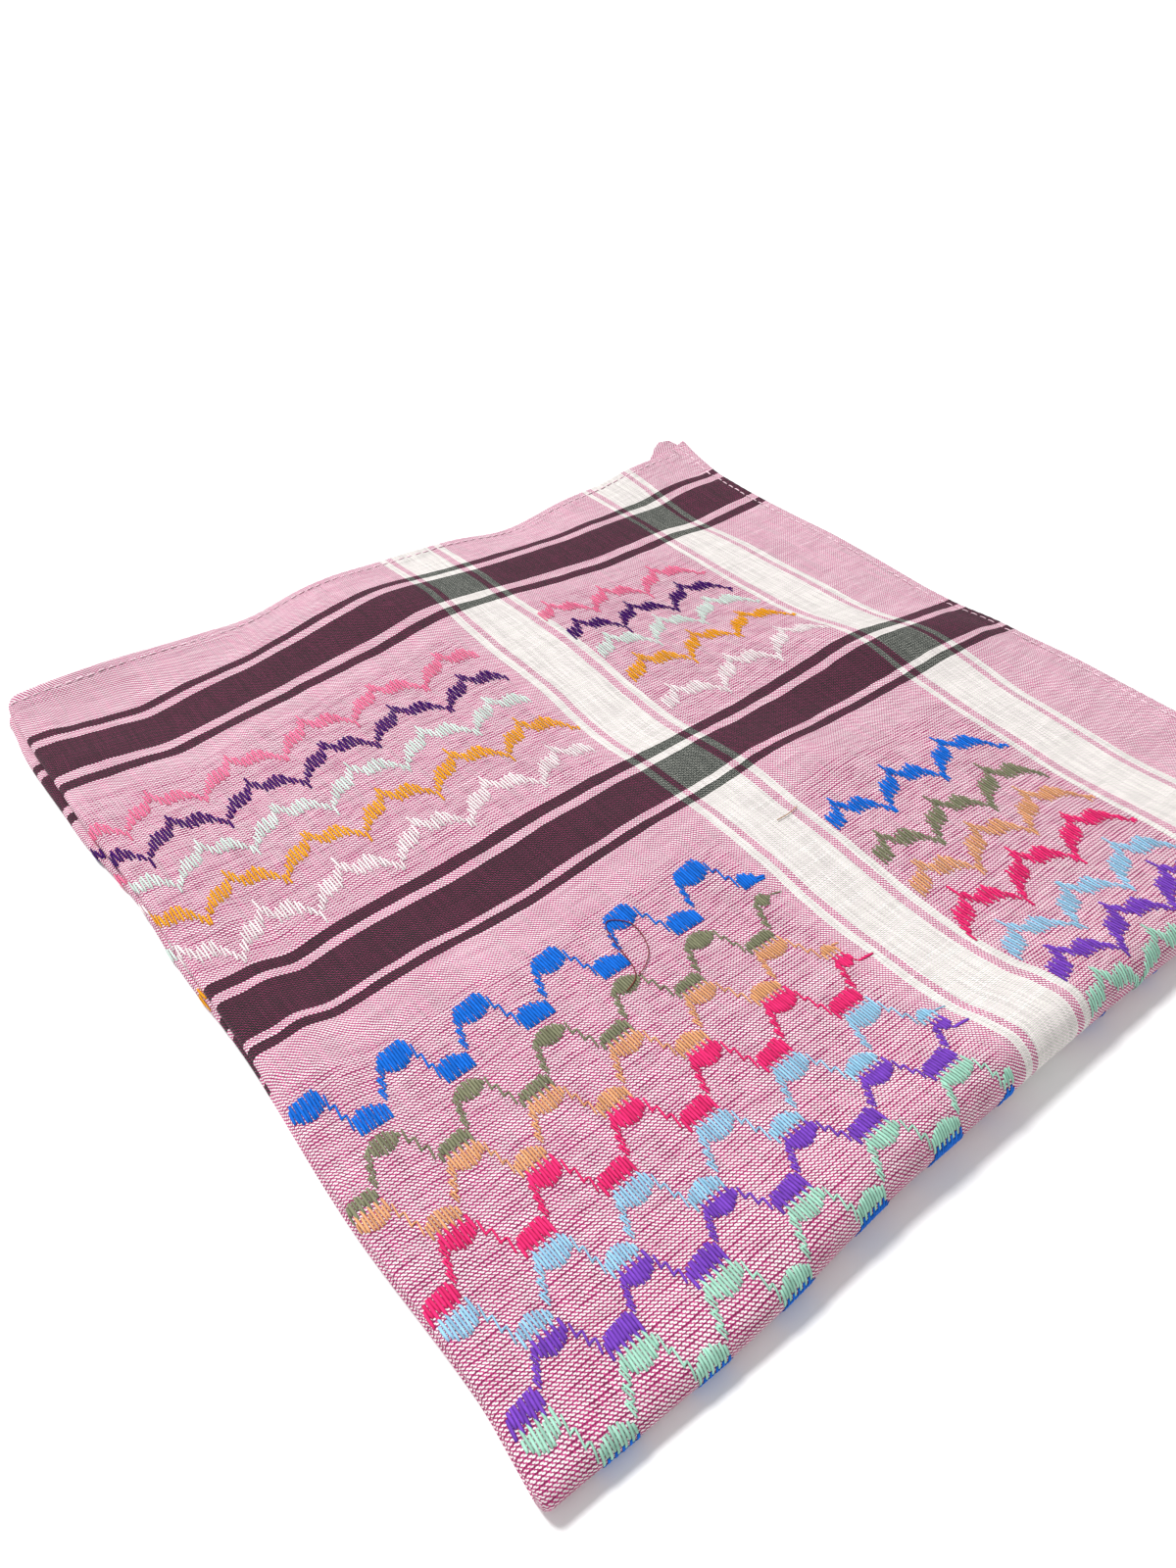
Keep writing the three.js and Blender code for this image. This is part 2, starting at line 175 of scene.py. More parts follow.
# Where brocade lies, it pulls the wefts into pairs, with gaps between them. In
# the dark bands they are packed closer. Open and packed wefts: how far one
# stands over the warp, its half width
MOTIFS_A = [(-10.0, 113.0), (140.0, 202.0)]
MOTIFS_B = [(-10.0, 86.0), (123.0, 194.0)]
MOTIF_EDGE = 4.0
PAIR_SHIFT = 0.13
PLAIN_SHIFT = 0.03
WAVE = 0.48
WEFT_LEAN = 0.5
PLAIN_STAND = 0.15
WEFT_OPEN = (0.30, 0.282)
WEFT_PACKED = (0.7, 0.5)
YARN_EDGE = 0.15
SLUB = 0.4
GAP_DEEP = 0.5
DARK_UNEVEN = 0.4
WAVER_A = 0.5
WAVER_B = 0.9

# Grain of the cloth's soft noise: length along a, length along b, detail. A
# yarn's or a gap's number may take the place of a or b
WAVER_GRAIN = (8.0, 4.0, 2.0)
GAP_GRAIN = (7.0, 1.3, 1.0)
SLUB_GRAIN = (9.0, 0.37, 2.0)
WEFT_GRAIN = (14.0, 0.41, 3.0)
WARP_GRAIN = (0.7, 14.0, 3.0)
WAVE_GRAIN = (16.0, 9.0, 3.0)
RIPPLE_GRAIN = (9.0, 1.7, 2.0)

# Relief in the materials: height in mm, strength
WAVE_RELIEF = (0.8, 0.25)
RIPPLE_RELIEF = (0.3, 0.6)
YARN_RELIEF = (0.1, 0.6)
FIBRE_RELIEF = (0.08, 0.4)
PLAIN_RIPPLE = 0.3

# Shades, as shares of a yarn's or a thread's colour. Painted shade where a weft dips, at a warp's sides,
# in its furrows and in gaps and holes; the slub, fibre and lot shades are uneven tone
WEFT_DIP_PAINTED_SHADES = (0.7, 1.02)
WEFT_SLUB_SHADES = (0.84, 1.08)
WARP_SIDE_PAINTED_SHADES = (1.0, 0.7)
WARP_SLUB_SHADES = (0.68, 1.16)
FURROW_PAINTED_SHADE = 0.72
GAP_PAINTED_SHADE = 0.88
HOLE_PAINTED_SHADE = 0.66
FIBRE_SHADES = (0.86, 1.06)
LOT_SHADES = (0.8, 1.08)

# Where the bands wander, as the cloth was pulled: place along the band, then
# how far the nearer and the farther band of the pair lie off
NEAR_DARK = 112.0
FAR_DARK = 215.0
NEAR_WHITE = 129.0
FAR_WHITE = 212.0
WANDER_FROM = 40.0
DARK_WANDER = [
    (6, 0.5, -1.1), (12, -0.3, 0.0), (20, 1.5, 0.6), (30, 0.8, 1.9), (45, 0.5, 1.4), (60, 1.1, 1.1),
    (72, 1.4, 0.2), (88, 1.0, -0.3), (110, 0.1, -1.6), (130, 0.1, -0.6), (148, 0.0, 0.3), (162, -0.8, 1.1),
    (175, -1.3, 2.3), (190, -0.9, 1.6), (212, 0.2, -0.4), (232, 1.0, -2.2), (245, 0.5, -1.8),
]
WHITE_WANDER = [
    (6, -0.5, 0.0), (12, 0.0, 0.0), (20, 1.0, 0.2), (30, 1.0, 0.2), (45, 0.3, 0.3), (60, 0.1, 0.2),
    (75, -0.3, 0.0), (92, -0.4, -0.7), (112, 0.2, -0.4), (130, 0.6, 0.1), (145, 0.3, 0.4), (160, -0.3, 0.8),
    (172, -0.1, 1.0), (186, 0.7, 0.8), (202, 1.2, 0.8), (222, 0.2, 0.4), (240, -0.6, 0.0),
]

# Colours as the eye sees them
WHITE_YARN = "#f2e5e8"
MAGENTA_YARN = "#bf3f7d"
CREAM_YARN = "#e6e7dc"
BLACK_YARN = "#222826"
HEM_THREAD = "#f9d6e2"
STRAY_RED = "#8e3b3c"
STRAY_TAN = "#d6a47c"
FLOOR_COLOUR = (0.94, 0.94, 0.94, 1.0)

# Each brocade thread's colour and width. Its sides are darker with painted shade, less so on the
# pale ones
SIDE_PAINTED_SHADE = 0.4
PALE_SIDE_PAINTED_SHADE = 0.62
HEM_SIDE_PAINTED_SHADE = 0.8
PALE = ("white", "pale_mint", "mint", "light_blue")
THREADS = {
    "pink": ("#ff7aa2", 0.6),
    "purple": ("#420d66", 0.68),
    "pale_mint": ("#dbf0e6", 0.56),
    "yellow": ("#f9a71c", 0.64),
    "white": ("#fbf1f1", 0.54),
    "blue": ("#1670de", 0.76),
    "olive": ("#85866a", 0.72),
    "peach": ("#eca977", 0.62),
    "crimson": ("#f03074", 0.77),
    "light_blue": ("#98cdec", 0.62),
    "violet": ("#7c46c0", 0.79),
    "mint": ("#a6dcc5", 0.66),
}

# The turned hem's section: place across it from its inner side, lift
HEM_LOW = 0.28
HEM_SECTION = [
    (-1.0, -0.1), (-0.9, -0.04), (-0.8, 0.0), (-0.6, 0.02), (0.0, 0.05), (1.3, 0.17),
    (2.2, 0.1), (3.1, 0.22), (4.2, 0.26), (4.9, 0.24), (5.35, -0.08), (5.5, -0.45),
    (5.3, -0.82), (4.7, -1.0), (2.5, -1.0), (0.0, -0.8), (-0.8, -0.2),
]

# Threads: width, height, and how high the middle line lies over the cloth
# halfway along and at the ends
FLOAT_LIFTS = (0.12, -0.04)
STITCH_FORM = (0.56, 0.26, (0.32, 0.12))
STRAY_FORM = (0.28, 0.24, (0.5, 0.45))
ARCH_POWER = 0.45
END_WIDE = 0.75
THREAD_SPACE = 40.0

# Hem stitches
STITCH_PITCH = 3.0
STITCH_LONG = 2.1
STITCH_IN = 3.3

# Brocade threads: their steps, and how they lean and how uneven they are
THREAD_STEP = 0.68
LEAF_STEP = 0.8
TOOTH = 0.27
RAGGED = 0.14
LEAN = 0.13
SKEW = 0.06

# One leaf from valley to valley, 21.6 mm long: place u, low end, high end of
# the thread there, measured from the row's middle
LEAF_LONG = 21.6
LEAF_PEAK = 10.0
LEAF_TAIL = (2.2, 0.6)
TAIL_DROP = 0.3
LEAF = [
    (0, -9.3, -4.8), (1, -5.4, -3.2), (2, -5, -1.4), (3.2, -3.6, 0.6), (4.2, -3.1, 2.1),
    (6, -2.8, 2.4), (8, -2.3, 2.5), (9, -0.6, 3.6), (9.7, 1.6, 5), (10.2, 2.2, 7.8),
    (11, 1.2, 4.8), (12, -0.6, 3.8), (13, -2.1, 1.8), (15, -2.3, 2.7), (17, -2.5, 3),
    (18, -3.1, 1.9), (19, -3.7, 0.2), (20, -4.8, -2), (20.8, -6.4, -3.2), (21.6, -8.8, -5.2),
]

# Rows of leaves: colour, where the row starts and ends in a, its middle at
# the start and at the end, and its peaks. The last rows lie underneath
LEAVES = [
    ("pink", -3, 113, 185, 188.5, (16.5, 36.7, 59.3, 80.5, 103.5)),
    ("purple", -3, 114, 173, 176, (16.6, 37.2, 59, 80.2, 103.5)),
    ("pale_mint", -3, 113, 160, 163, (18.4, 38, 59.7, 81.5, 103.5)),
    ("yellow", -3, 117, 146, 150, (19.3, 39.5, 61.3, 82.2, 104.5)),
    ("white", -3, 114, 132, 135, (20.8, 40.5, 62.5, 82.7, 105)),
    ("pink", 138, 198, 188, 188, (144, 164.5, 184.8)),
    ("purple", 139.5, 198.5, 175.5, 175.5, (144.8, 165.5, 185.6)),
    ("pale_mint", 141, 200, 164.5, 164.5, (148, 168.4, 186.8)),
    ("yellow", 141.5, 201.5, 151.5, 151.5, (148.3, 170.8, 188.8)),
    ("white", 141.5, 200.5, 135.5, 135.5, (147, 168.8, 189.2)),
    ("blue", 141, 200.5, 74, 74, (147, 166.5, 186.6)),
    ("olive", 141.5, 199, 59.5, 59.5, (147.5, 167, 187)),
    ("peach", 141, 200.5, 48, 48, (147.6, 167.4, 187.2)),
    ("crimson", 138.5, 200.5, 36, 36, (148, 167.8, 187.6)),
    ("light_blue", 140, 200, 23, 23, (147.6, 168.2, 187.8)),
    ("violet", 140.5, 200, 12, 12, (147, 168.4, 189)),
    ("mint", 141, 200, 1.5, 1.5, (147.6, 168.8, 188.4)),
    *((colour, 141, 200, b, b, (147, 167, 187)) for colour, b in (
        ("blue", -12), ("olive", -25), ("peach", -37),
        ("crimson", -49), ("light_blue", -61), ("violet", -73),
    )),
    ("yellow", -3, 114, -131, -131, (19.3, 39.5, 61.3, 82.2, 104.5)),
    ("pale_mint", -3, 114, -147, -147, (18.4, 38, 59.7, 81.5, 103.5)),
    ("white", -3, 114, -161, -161, (16.6, 37.2, 59, 80.2, 103.5)),
    ("pink", -3, 114, -174, -174, (16.5, 36.7, 59.3, 80.5, 103.5)),
    ("purple", -3, 114, -186, -186, (16.5, 36.7, 59.3, 80.5, 103.5)),
]

# The net of zigzags. Its blobs stand in two sets of columns, A and B: the
# middle of each column and half its width
NET_START = -6.0
NET_END = 114.5
COLUMNS_A = [(3.4, 3.1), (23, 3.3), (41.5, 3.5), (61.5, 3.5), (81.5, 3.5), (102.5, 3.8)]
COLUMNS_B = [(12.7, 3.2), (31.7, 3), (51.2, 3.3), (71.4, 3.3), (92.3, 3.6), (111.6, 1.9)]
LAST_TALL = 0.8

# A link between two blobs: its steps, how far each goes past its end, and
# where on the two blobs it starts and ends, as shares of their height
LINK_STEPS = 3
LINK_WIDE = 0.66
LINK_PAST = 0.3
LINK_LEAN = 0.22
LINK_OFF = 0.3
LINK_RISING = (0.75, 0.45)
LINK_FALLING = (0.55, 0.4)

# Each row: colour, how far it stands to the right, low and high of its blobs
# in A with the shapes of those ends, then the same for B
NET = [
    ("blue", 0.3, (79, 86, "bowl", "rise"), (70.4, 76.3, "flat", "fall")),
    ("olive", -0.8, (56.4, 60.9, "teeth", "rise"), (64.2, 69.2, "bowl", "bowl")),
    ("peach", -0.4, (52.2, 57.4, "bowl", "teeth"), (44.6, 49.6, "teeth", "bowl")),
    ("crimson", 0, (31.9, 37.4, "teeth", "rise"), (40, 45.6, "bowl", "teeth")),
    ("light_blue", 0.6, (27, 32.9, "bowl", "teeth"), (19.6, 24.4, "teeth", "bowl")),
    ("violet", 1.2, (9.4, 14.8, "teeth", "rise"), (15.8, 20.6, "bowl", "teeth")),
    ("mint", 1.7, (5.4, 10.4, "bowl", "teeth"), (-2, 2.9, "teeth", "bowl")),
    ("blue", 1.9, (-17.5, -12, "bowl", "rise"), (-7.5, -1, "bowl", "teeth")),
    ("olive", 2, (-24, -18.2, "teeth", "rise"), (-31, -26.4, "bowl", "bowl")),
    ("peach", 2, (-43, -38.5, "bowl", "bowl"), (-36, -31, "teeth", "bowl")),
    ("crimson", 2, (-48, -43, "teeth", "rise"), (-56, -49.5, "bowl", "teeth")),
    ("light_blue", 2, (-68, -63.4, "bowl", "bowl"), (-61, -56, "teeth", "bowl")),
    ("violet", 2, (-72.5, -68, "teeth", "rise"), (-78.2, -72.6, "bowl", "teeth")),
    ("mint", 2, (-90, -85.5, "bowl", "bowl"), (-82.7, -78.2, "teeth", "bowl")),
]

# Tails where a zigzag ends: colour, from (a, b) to (a, b), share of its width
TAILS = [
    ("blue", 113.6, 72.2, 116.2, 71.6, 1.1), ("blue", 113.8, 71.3, 115.8, 71, 0.9),
    ("olive", 113.3, 66.8, 116, 65.8, 0.5), ("peach", 113, 47.8, 114.8, 47.3, 0.8),
    ("crimson", 113.1, 43.2, 113.8, 40.8, 0.5), ("crimson", 113.8, 40.8, 118.1, 40.4, 1),
    ("light_blue", 113, 21.8, 117.2, 20.9, 0.6), ("violet", 113.1, 18.8, 113.4, 16, 0.5),
    ("violet", 113.4, 16, 117.4, 15.4, 1),
]

# A stray looped thread and a loose fibre on the cloth, by their a and b
LOOP = [
    (69.5, 65.0), (73.0, 66.5), (75.0, 70.0), (76.0, 76.0), (77.5, 82.0), (79.5, 83.0),
    (82.3, 80.0), (82.5, 76.0), (80.5, 71.0), (77.0, 68.0), (74.0, 66.8),
]
FIBRE = [(131.0, 82.3), (134.5, 82.2), (138.2, 82.7)]

# The camera: its place, the turn of its view from +X, how far it looks down,
# its roll, in degrees, and its lens
CAMERA_PLACE = (-158.7, -181.2, 197.3)
CAMERA_YAW = 51.67
CAMERA_DOWN = 40.30
CAMERA_ROLL = 0.23
CAMERA_LENS = 26.36

# The room, in metres. Each light: place, size, power
FLOOR_HALF = 3.0
WORLD_LIGHT = 0.48
KEY_LIGHT = ((-0.6, 1.9, 3.4), 1.0, 152)
FILL_LIGHT = ((-1.5, -0.7, 0.9), 1.2, 6)

SEED = 41
draw = random.Random(SEED)


def uneven(most):
    """A random number from -most to most."""
    return draw.uniform(-most, most)


def smoothstep(x, low, high):
    """0 below low and 1 above high, eased between them."""
    share = np.clip((np.asarray(x, float) - low) / (high - low), 0, 1)
    return share * share * (3 - 2 * share)


def lerp(low, high, share):
    """The value at share of the way from low to high."""
    return low + (high - low) * share


def between(rows, column, at):
    """A value between two rows of a table, eased from one to the next."""
    at = np.asarray(at, float)
    places = np.array([row[0] for row in rows], float)
    values = np.array([row[column] for row in rows], float)
    low = np.clip(np.searchsorted(places, at, side="right") - 1, 0, len(rows) - 2)
    share = smoothstep(at, places[low], places[low + 1])
    return lerp(values[low], values[low + 1], share)


# The form of the folded cloth
def height(s, t):
    """Height of the top face over the floor."""
    t = np.maximum(t, ROLL_FLAT)
    z = LOFT - FOLD_SLUMP * (1 - smoothstep(s, SLUMP_FROM, SLUMP_TO))
    for at_s, at_t, turn, reach, spread, rise in CREASES + FINE_CREASES:
        turn = math.radians(turn)
        along = (s - at_s) * math.cos(turn) + (t - at_t) * math.sin(turn)
        across = (t - at_t) * math.cos(turn) - (s - at_s) * math.sin(turn)
        z = z + rise * np.exp(-(along / reach) ** 2 - (across / spread) ** 2)
    return LEAST_LOFT + np.log1p(np.exp(z - LEAST_LOFT))


def roll_radius(s):
    """Radius of the roll at the second fold."""
    return height(np.maximum(s, 0), 0 * s) / 2


def nose_radius(t):
    """Radius of the outer cloth's doubled nose at the first fold."""
    return (height(NOSE_AT + 0 * t, t) - PAIR_GAP) / 4


def settle(s, t, z):
    """Bends the straight square to the sides and corner of the real one."""
    from_first = 1 - smoothstep(s, 0, SHIFT_REACH)
    from_second = 1 - smoothstep(t, 0, UNDER_END)
    to_right = smoothstep(s, SIDE - SHIFT_REACH, SIDE)
    to_back = smoothstep(t, SIDE - SHIFT_REACH, SIDE)
    tip = TIP_OUT * np.exp(-((s - SIDE) ** 2 + (t - SIDE) ** 2) / TIP_REACH ** 2)
    ds = between(FIRST_FOLD, 1, t) * from_first + between(RIGHT_HEM, 1, t) * to_right
    dt = between(SECOND_FOLD, 1, s) * from_second + between(BACK_HEM, 1, s) * to_back
    return s + ds + tip, t + dt + tip, z


def in_space(s, depth, t, angle):
    """A point at depth under the face: angle 0 on top, pi underneath, and
    between them on the roll of the second fold."""
    places = (np.asarray(value, float) for value in (s, depth, t, angle))
    s, depth, t, angle = np.broadcast_arrays(*places)
    r = roll_radius(s)
    rolled = (angle > 0) & (angle < math.pi)
    under = angle >= math.pi
    t_at = np.where(rolled, r - (r - depth) * np.sin(angle), t)
    z_roll = r + (r - depth) * np.cos(angle)
    z_top = height(np.maximum(s, 0), t) - depth
    z = np.where(rolled, z_roll, np.where(under, depth, z_top))
    z = z + FLOAT_HIGH * (1 - np.cos(angle)) / 2
    peek = between(FIRST_FOLD, 2, t_at) * (1 - np.clip(s / SIDE, 0, 1))
    s_at = np.where(under, s - peek, s)
    s_at, t_at, z = settle(s_at, t_at, z)
    return np.stack([(s_at - MIDDLE_S) * MM, (t_at - MIDDLE_T) * MM, z * MM], axis=-1)


def along_b(b, s):
    """Where cloth place b lies: t, and the angle round the roll."""
    r = roll_radius(s)
    angle = np.clip((r - b) / r, 0, math.pi)
    run = np.maximum(r - math.pi * r - b, 0)
    return np.where(b > r, b, r + run), angle


def under_b(t, s):
    """Cloth place b at t on the underside."""
    r = roll_radius(s)
    return 2 * r - math.pi * r - t


def along_a(a, t, lift):
    """Where cloth place a lies, moved out by lift: s, and depth."""
    nose = nose_radius(t)
    turn = np.clip((nose - a) / nose, 0, math.pi)
    inside = np.maximum(nose - math.pi * nose - a, 0)
    s = np.where(a > nose, a, nose - (nose + lift) * np.sin(turn) + inside)
    depth = np.where(a > nose, -lift, nose - (nose + lift) * np.cos(turn))
    return s, depth


def outer_face(a, b, lift=0.0):
    """Points of the outer cloth's face at cloth places a and b."""
    a, b, lift = np.broadcast_arrays(*(np.asarray(value, float) for value in (a, b, lift)))
    t, angle = along_b(b, a)
    lift = np.where(angle > UNDER_ANGLE, np.minimum(lift, FLOAT_HIGH - FLOOR_GAP), lift)
    s, depth = along_a(a, t, lift)
    return in_space(s, depth, t, angle)


def weave_places(a, b):
    """Where the woven bands think they are: a and b with the pull added."""
    a, b = np.broadcast_arrays(np.asarray(a, float), np.asarray(b, float))
    toward_far = np.clip((b - NEAR_DARK) / (FAR_DARK - NEAR_DARK), 0, 1)
    pull_b = lerp(between(DARK_WANDER, 1, a), between(DARK_WANDER, 2, a), toward_far)
    toward_right = np.clip((a - NEAR_WHITE) / (FAR_WHITE - NEAR_WHITE), 0, 1)
    pull_a = lerp(between(WHITE_WANDER, 1, b), between(WHITE_WANDER, 2, b), toward_right)
    return np.stack([a + pull_a, b + pull_b * smoothstep(b, WANDER_FROM, NEAR_DARK)], axis=-1)


# Meshes
def make_object(name, points, faces, maps, material):
    """A mesh object from points, faces and maps: {name: uv of each point}."""
    mesh = bpy.data.meshes.new(name)
    mesh.from_pydata([tuple(p) for p in points], [], [tuple(int(n) for n in f) for f in faces])
    mesh.polygons.foreach_set("use_smooth", [True] * len(mesh.polygons))
    corner = np.empty(len(mesh.loops), dtype=np.int64)
    mesh.loops.foreach_get("vertex_index", corner)
    for map_name, places in maps.items():
        layer = mesh.uv_layers.new(name=map_name)
        layer.data.foreach_set("uv", np.asarray(places, dtype=np.float32)[corner].ravel())
    mesh.materials.append(material)
    mesh.update()
    piece = bpy.data.objects.new(name, mesh)
    bpy.context.scene.collection.objects.link(piece)
    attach(piece, "root")
    return piece


def grid_faces(rows, columns, start=0, flip=False):
    """The squares of a grid of points that starts at number start."""
    faces = []
    for j in range(rows - 1):
        for i in range(columns - 1):
            n = start + j * columns + i
            face = (n, n + 1, n + columns + 1, n + columns)
            faces.append(face[::-1] if flip else face)
    return faces


def grid_border(rows, columns):
    """The points round the edge of a grid, in order."""
    grid = np.arange(rows * columns).reshape(rows, columns)
    return [*grid[0], *grid[1:, -1], *grid[-1, -2::-1], *grid[-2:0:-1, 0]]


def rim_faces(border, start):
    """Faces that join the border of a grid to that of its copy."""
    faces = []
    for n, here in enumerate(border):
        there = border[(n + 1) % len(border)]
        faces.append((there, here, here + start, there + start))
    return faces


def tube_faces(tubes, rings, sides):
    """Faces round each tube, and a cap at both of its ends."""
    faces = []
    for start in range(0, tubes * rings * sides, rings * sides):
        last = start + (rings - 1) * sides
        for ring in range(start, last, sides):
            for i in range(sides):
                here, there = ring + i, ring + (i + 1) % sides
                faces.append((here, there, there + sides, here + sides))
        faces.append(tuple(range(start, start + sides))[::-1])
        faces.append(tuple(range(last, last + sides)))
    return faces


def shell(name, outer, inner, weave, material, slot):
    """A thin closed cloth from two grids of points and a map of the weave."""
    rows, columns = outer.shape[:2]
    count = rows * columns
    points = np.concatenate([outer.reshape(-1, 3), inner.reshape(-1, 3)])
    faces = grid_faces(rows, columns) + grid_faces(rows, columns, count, flip=True)
    border = grid_border(rows, columns)
    faces += rim_faces(border, count)
    flat = weave.reshape(-1, 2)
    low, high = flat.min(axis=0), flat.max(axis=0)
    share = (flat - low) / (high - low)
    bake = [share * size + corner for size, corner in BAKE_SPACES]
    maps = {"weave": np.concatenate([flat, flat]), "OFBake": np.concatenate(bake)}
    piece = make_object(name, points, faces, maps, material)
    rim = set(border) | {n + count for n in border}
    for edge in piece.data.edges:
        edge.use_edge_sharp = edge.vertices[0] in rim and edge.vertices[1] in rim
    return piece


def tube(name, points, weave, material):
    """A closed tube from rings of points, with both ends capped."""
    rings, sides = points.shape[:2]
    along = np.linspace(0.01, 0.99, rings)
    across = np.linspace(0.02, 0.98, sides)
    bake = np.stack(np.meshgrid(along, across, indexing="ij"), axis=-1)
    maps = {"weave": weave.reshape(-1, 2), "OFBake": bake.reshape(-1, 2)}
    faces = tube_faces(1, rings, sides)
    return make_object(name, points.reshape(-1, 3), faces, maps, material)


# Materials
def linear(hex_colour):
    """A colour as the eye sees it, as linear light."""
    parts = [int(hex_colour[n:n + 2], 16) / 255 for n in (1, 3, 5)]
    light = [p / 12.92 if p <= 0.04045 else ((p + 0.055) / 1.055) ** 2.4 for p in parts]
    return (*light, 1.0)


class Value:
    """A number that a material works out at each point. Sums add nodes."""

    def __init__(self, look, socket):
        self.look = look
        self.socket = socket

    def __add__(self, other):
        return self.look.math("ADD", self, other)

    def __sub__(self, other):
        return self.look.math("SUBTRACT", self, other)

    def __rsub__(self, other):
        return self.look.math("SUBTRACT", other, self)

    def __mul__(self, other):
        return self.look.math("MULTIPLY", self, other)

    def __truediv__(self, other):
        return self.look.math("DIVIDE", self, other)

    def __abs__(self):
        return self.look.math("ABSOLUTE", self)

    def __floor__(self):
        return self.look.math("FLOOR", self)


class Look:
    """A material whose nodes are added by short calls."""

    def __init__(self, name):
        self.material = bpy.data.materials.new(name)
        self.material.use_nodes = True
        self.tree = self.material.node_tree
        self.surface = self.tree.nodes["Principled BSDF"].inputs

    def put(self, socket, value):
        if isinstance(value, Value):
            self.tree.links.new(value.socket, socket)
        else:
            socket.default_value = value

    def node(self, kind, *values, **settings):
        """A node with these settings, whose first inputs are the values."""
        node = self.tree.nodes.new("ShaderNode" + kind)
        for name, setting in settings.items():
            setattr(node, name, setting)
        for socket, value in zip(node.inputs, values):
            self.put(socket, value)
        return node

    def math(self, kind, *values):
        return Value(self, self.node("Math", *values, operation=kind).outputs[0])

    def soft(self, *values):
        """A value between low and high, eased to 0 to 1 or to two others."""
        return Value(self, self.node("MapRange", *values, interpolation_type="SMOOTHSTEP").outputs[0])

    def eased(self, share, none, full):
        """From none to full as share goes from 0 to 1."""
        return self.soft(share, 0.0, 1.0, none, full)

    def mix(self, share, first, second, kind="MIX"):
        node = self.node("Mix", share, data_type="RGBA", blend_type=kind)
        self.put(node.inputs[6], first)
        self.put(node.inputs[7], second)
        return Value(self, node.outputs[2])

    def vector(self, *values):
        return Value(self, self.node("CombineXYZ", *values).outputs[0])

    def shaded(self, colour, shade):
        return self.mix(1.0, colour, self.vector(shade, shade, shade), "MULTIPLY")

    def noise(self, x, y, detail):
        node = self.node("TexNoise", self.vector(x, y))
        node.inputs["Scale"].default_value = 1.0
        node.inputs["Detail"].default_value = detail
        return Value(self, node.outputs["Fac"])

    def streaks(self, a, b, grain):
        """Soft noise whose grain is (length along a, length along b, detail)."""
        return self.noise(a / grain[0], b / grain[1], grain[2])

    def places(self, map_name):
        """The two places that a map holds."""
        node = self.node("UVMap", uv_map=map_name)
        split = self.node("SeparateXYZ", Value(self, node.outputs[0]))
        return Value(self, split.outputs[0]), Value(self, split.outputs[1])

    def steps(self, value, bands):
        """1 inside the bands and 0 outside them."""
        total = 0.0
        for low, high in bands:
            total = self.math("COMPARE", value, (low + high) / 2, (high - low) / 2) + total
        return total

    def zones(self, value, bands):
        """1 inside the bands, and less and less outside them."""
        total = 0.0
        for low, high in bands:
            rise = self.soft(value, low - MOTIF_EDGE, low + MOTIF_EDGE)
            total = self.soft(value, high - MOTIF_EDGE, high + MOTIF_EDGE, rise, 0.0) + total
        return total

    def bump(self, heights, relief, normal=None):
        """A bump whose relief is (height in mm, strength)."""
        node = self.node("Bump")
        node.inputs["Distance"].default_value = relief[0] * MM
        node.inputs["Strength"].default_value = relief[1]
        self.put(node.inputs["Height"], heights)
        if normal:
            self.put(node.inputs["Normal"], normal)
        return Value(self, node.outputs[0])

    def finish(self, colour, normal, roughness, sheen, specular):
        self.put(self.surface["Base Color"], colour)
        self.put(self.surface["Normal"], normal)
        self.surface["Roughness"].default_value = roughness
        self.surface["Sheen Weight"].default_value = sheen
        self.surface["Sheen Roughness"].default_value = 0.5
        self.surface["Specular IOR Level"].default_value = specular
        return self.material


def yarn(look, place, other, pitch, other_pitch, lean=0.0):
    """One set of yarns: its index, the place across it from -0.5 to 0.5, and
    the wave in which it passes over (1) and under (-1) the other set."""
    turns = place / pitch
    index = math.floor(turns)
    across = turns - index - 0.5
    run = other / other_pitch + across * lean
    return index, across, look.math("COSINE", (run - 0.5 + index) * math.pi)


def band_masks(look, weft, warp):
    """1 on the dark wefts and 0 elsewhere, and the same for the white warps."""
    weft_at = (weft + 0.5) * WEFT_PITCH
    warp_at = (warp + 0.5) * WARP_PITCH
    return look.steps(abs(weft_at - MIDDLE_B), DARK_BANDS), look.steps(abs(warp_at), WHITE_BANDS)


def motif_zone(look, a, b):
    """1 where the brocade lies and pulls the cloth, 0 elsewhere."""
    return look.zones(abs(a), MOTIFS_A) * look.zones(abs(b - MIDDLE_B), MOTIFS_B)


def open_gaps(look, a, b):
    """Thin lines between two pairs of wefts, where they are drawn apart."""
    place = (b / WEFT_PITCH - 1.0) * 0.5
    gap = math.floor(place)
    run = look.soft(look.streaks(a, gap, GAP_GRAIN), 0.5, 0.6)
    return look.soft(abs(place - gap - 0.5), 0.1, 0.36, run, 0.0)


def weft_bulge(look, weft, across, zone, dark):
    """How round a weft stands across its width, as it is drawn to its pair."""
    odd = look.math("PINGPONG", weft, 1.0) * 2.0 - 1.0
    paired = across + odd * look.eased(zone, PLAIN_SHIFT, PAIR_SHIFT)
    narrow = look.eased(dark, 1 / WEFT_OPEN[1] ** 2, 1 / WEFT_PACKED[1] ** 2)
    return 1.0 - paired * paired * narrow


def weft_over(look, wave, bulge, slub, gaps, zone, dark):
    """How far the weft stands over the warp. Above 0 it shows."""
    stand = look.eased(dark, look.eased(zone, PLAIN_STAND, WEFT_OPEN[0]), WEFT_PACKED[0])
    rough = (slub - 0.5) * SLUB - gaps * GAP_DEEP
    return wave * WAVE + stand * bulge + rough * look.eased(dark, 1.0, DARK_UNEVEN)


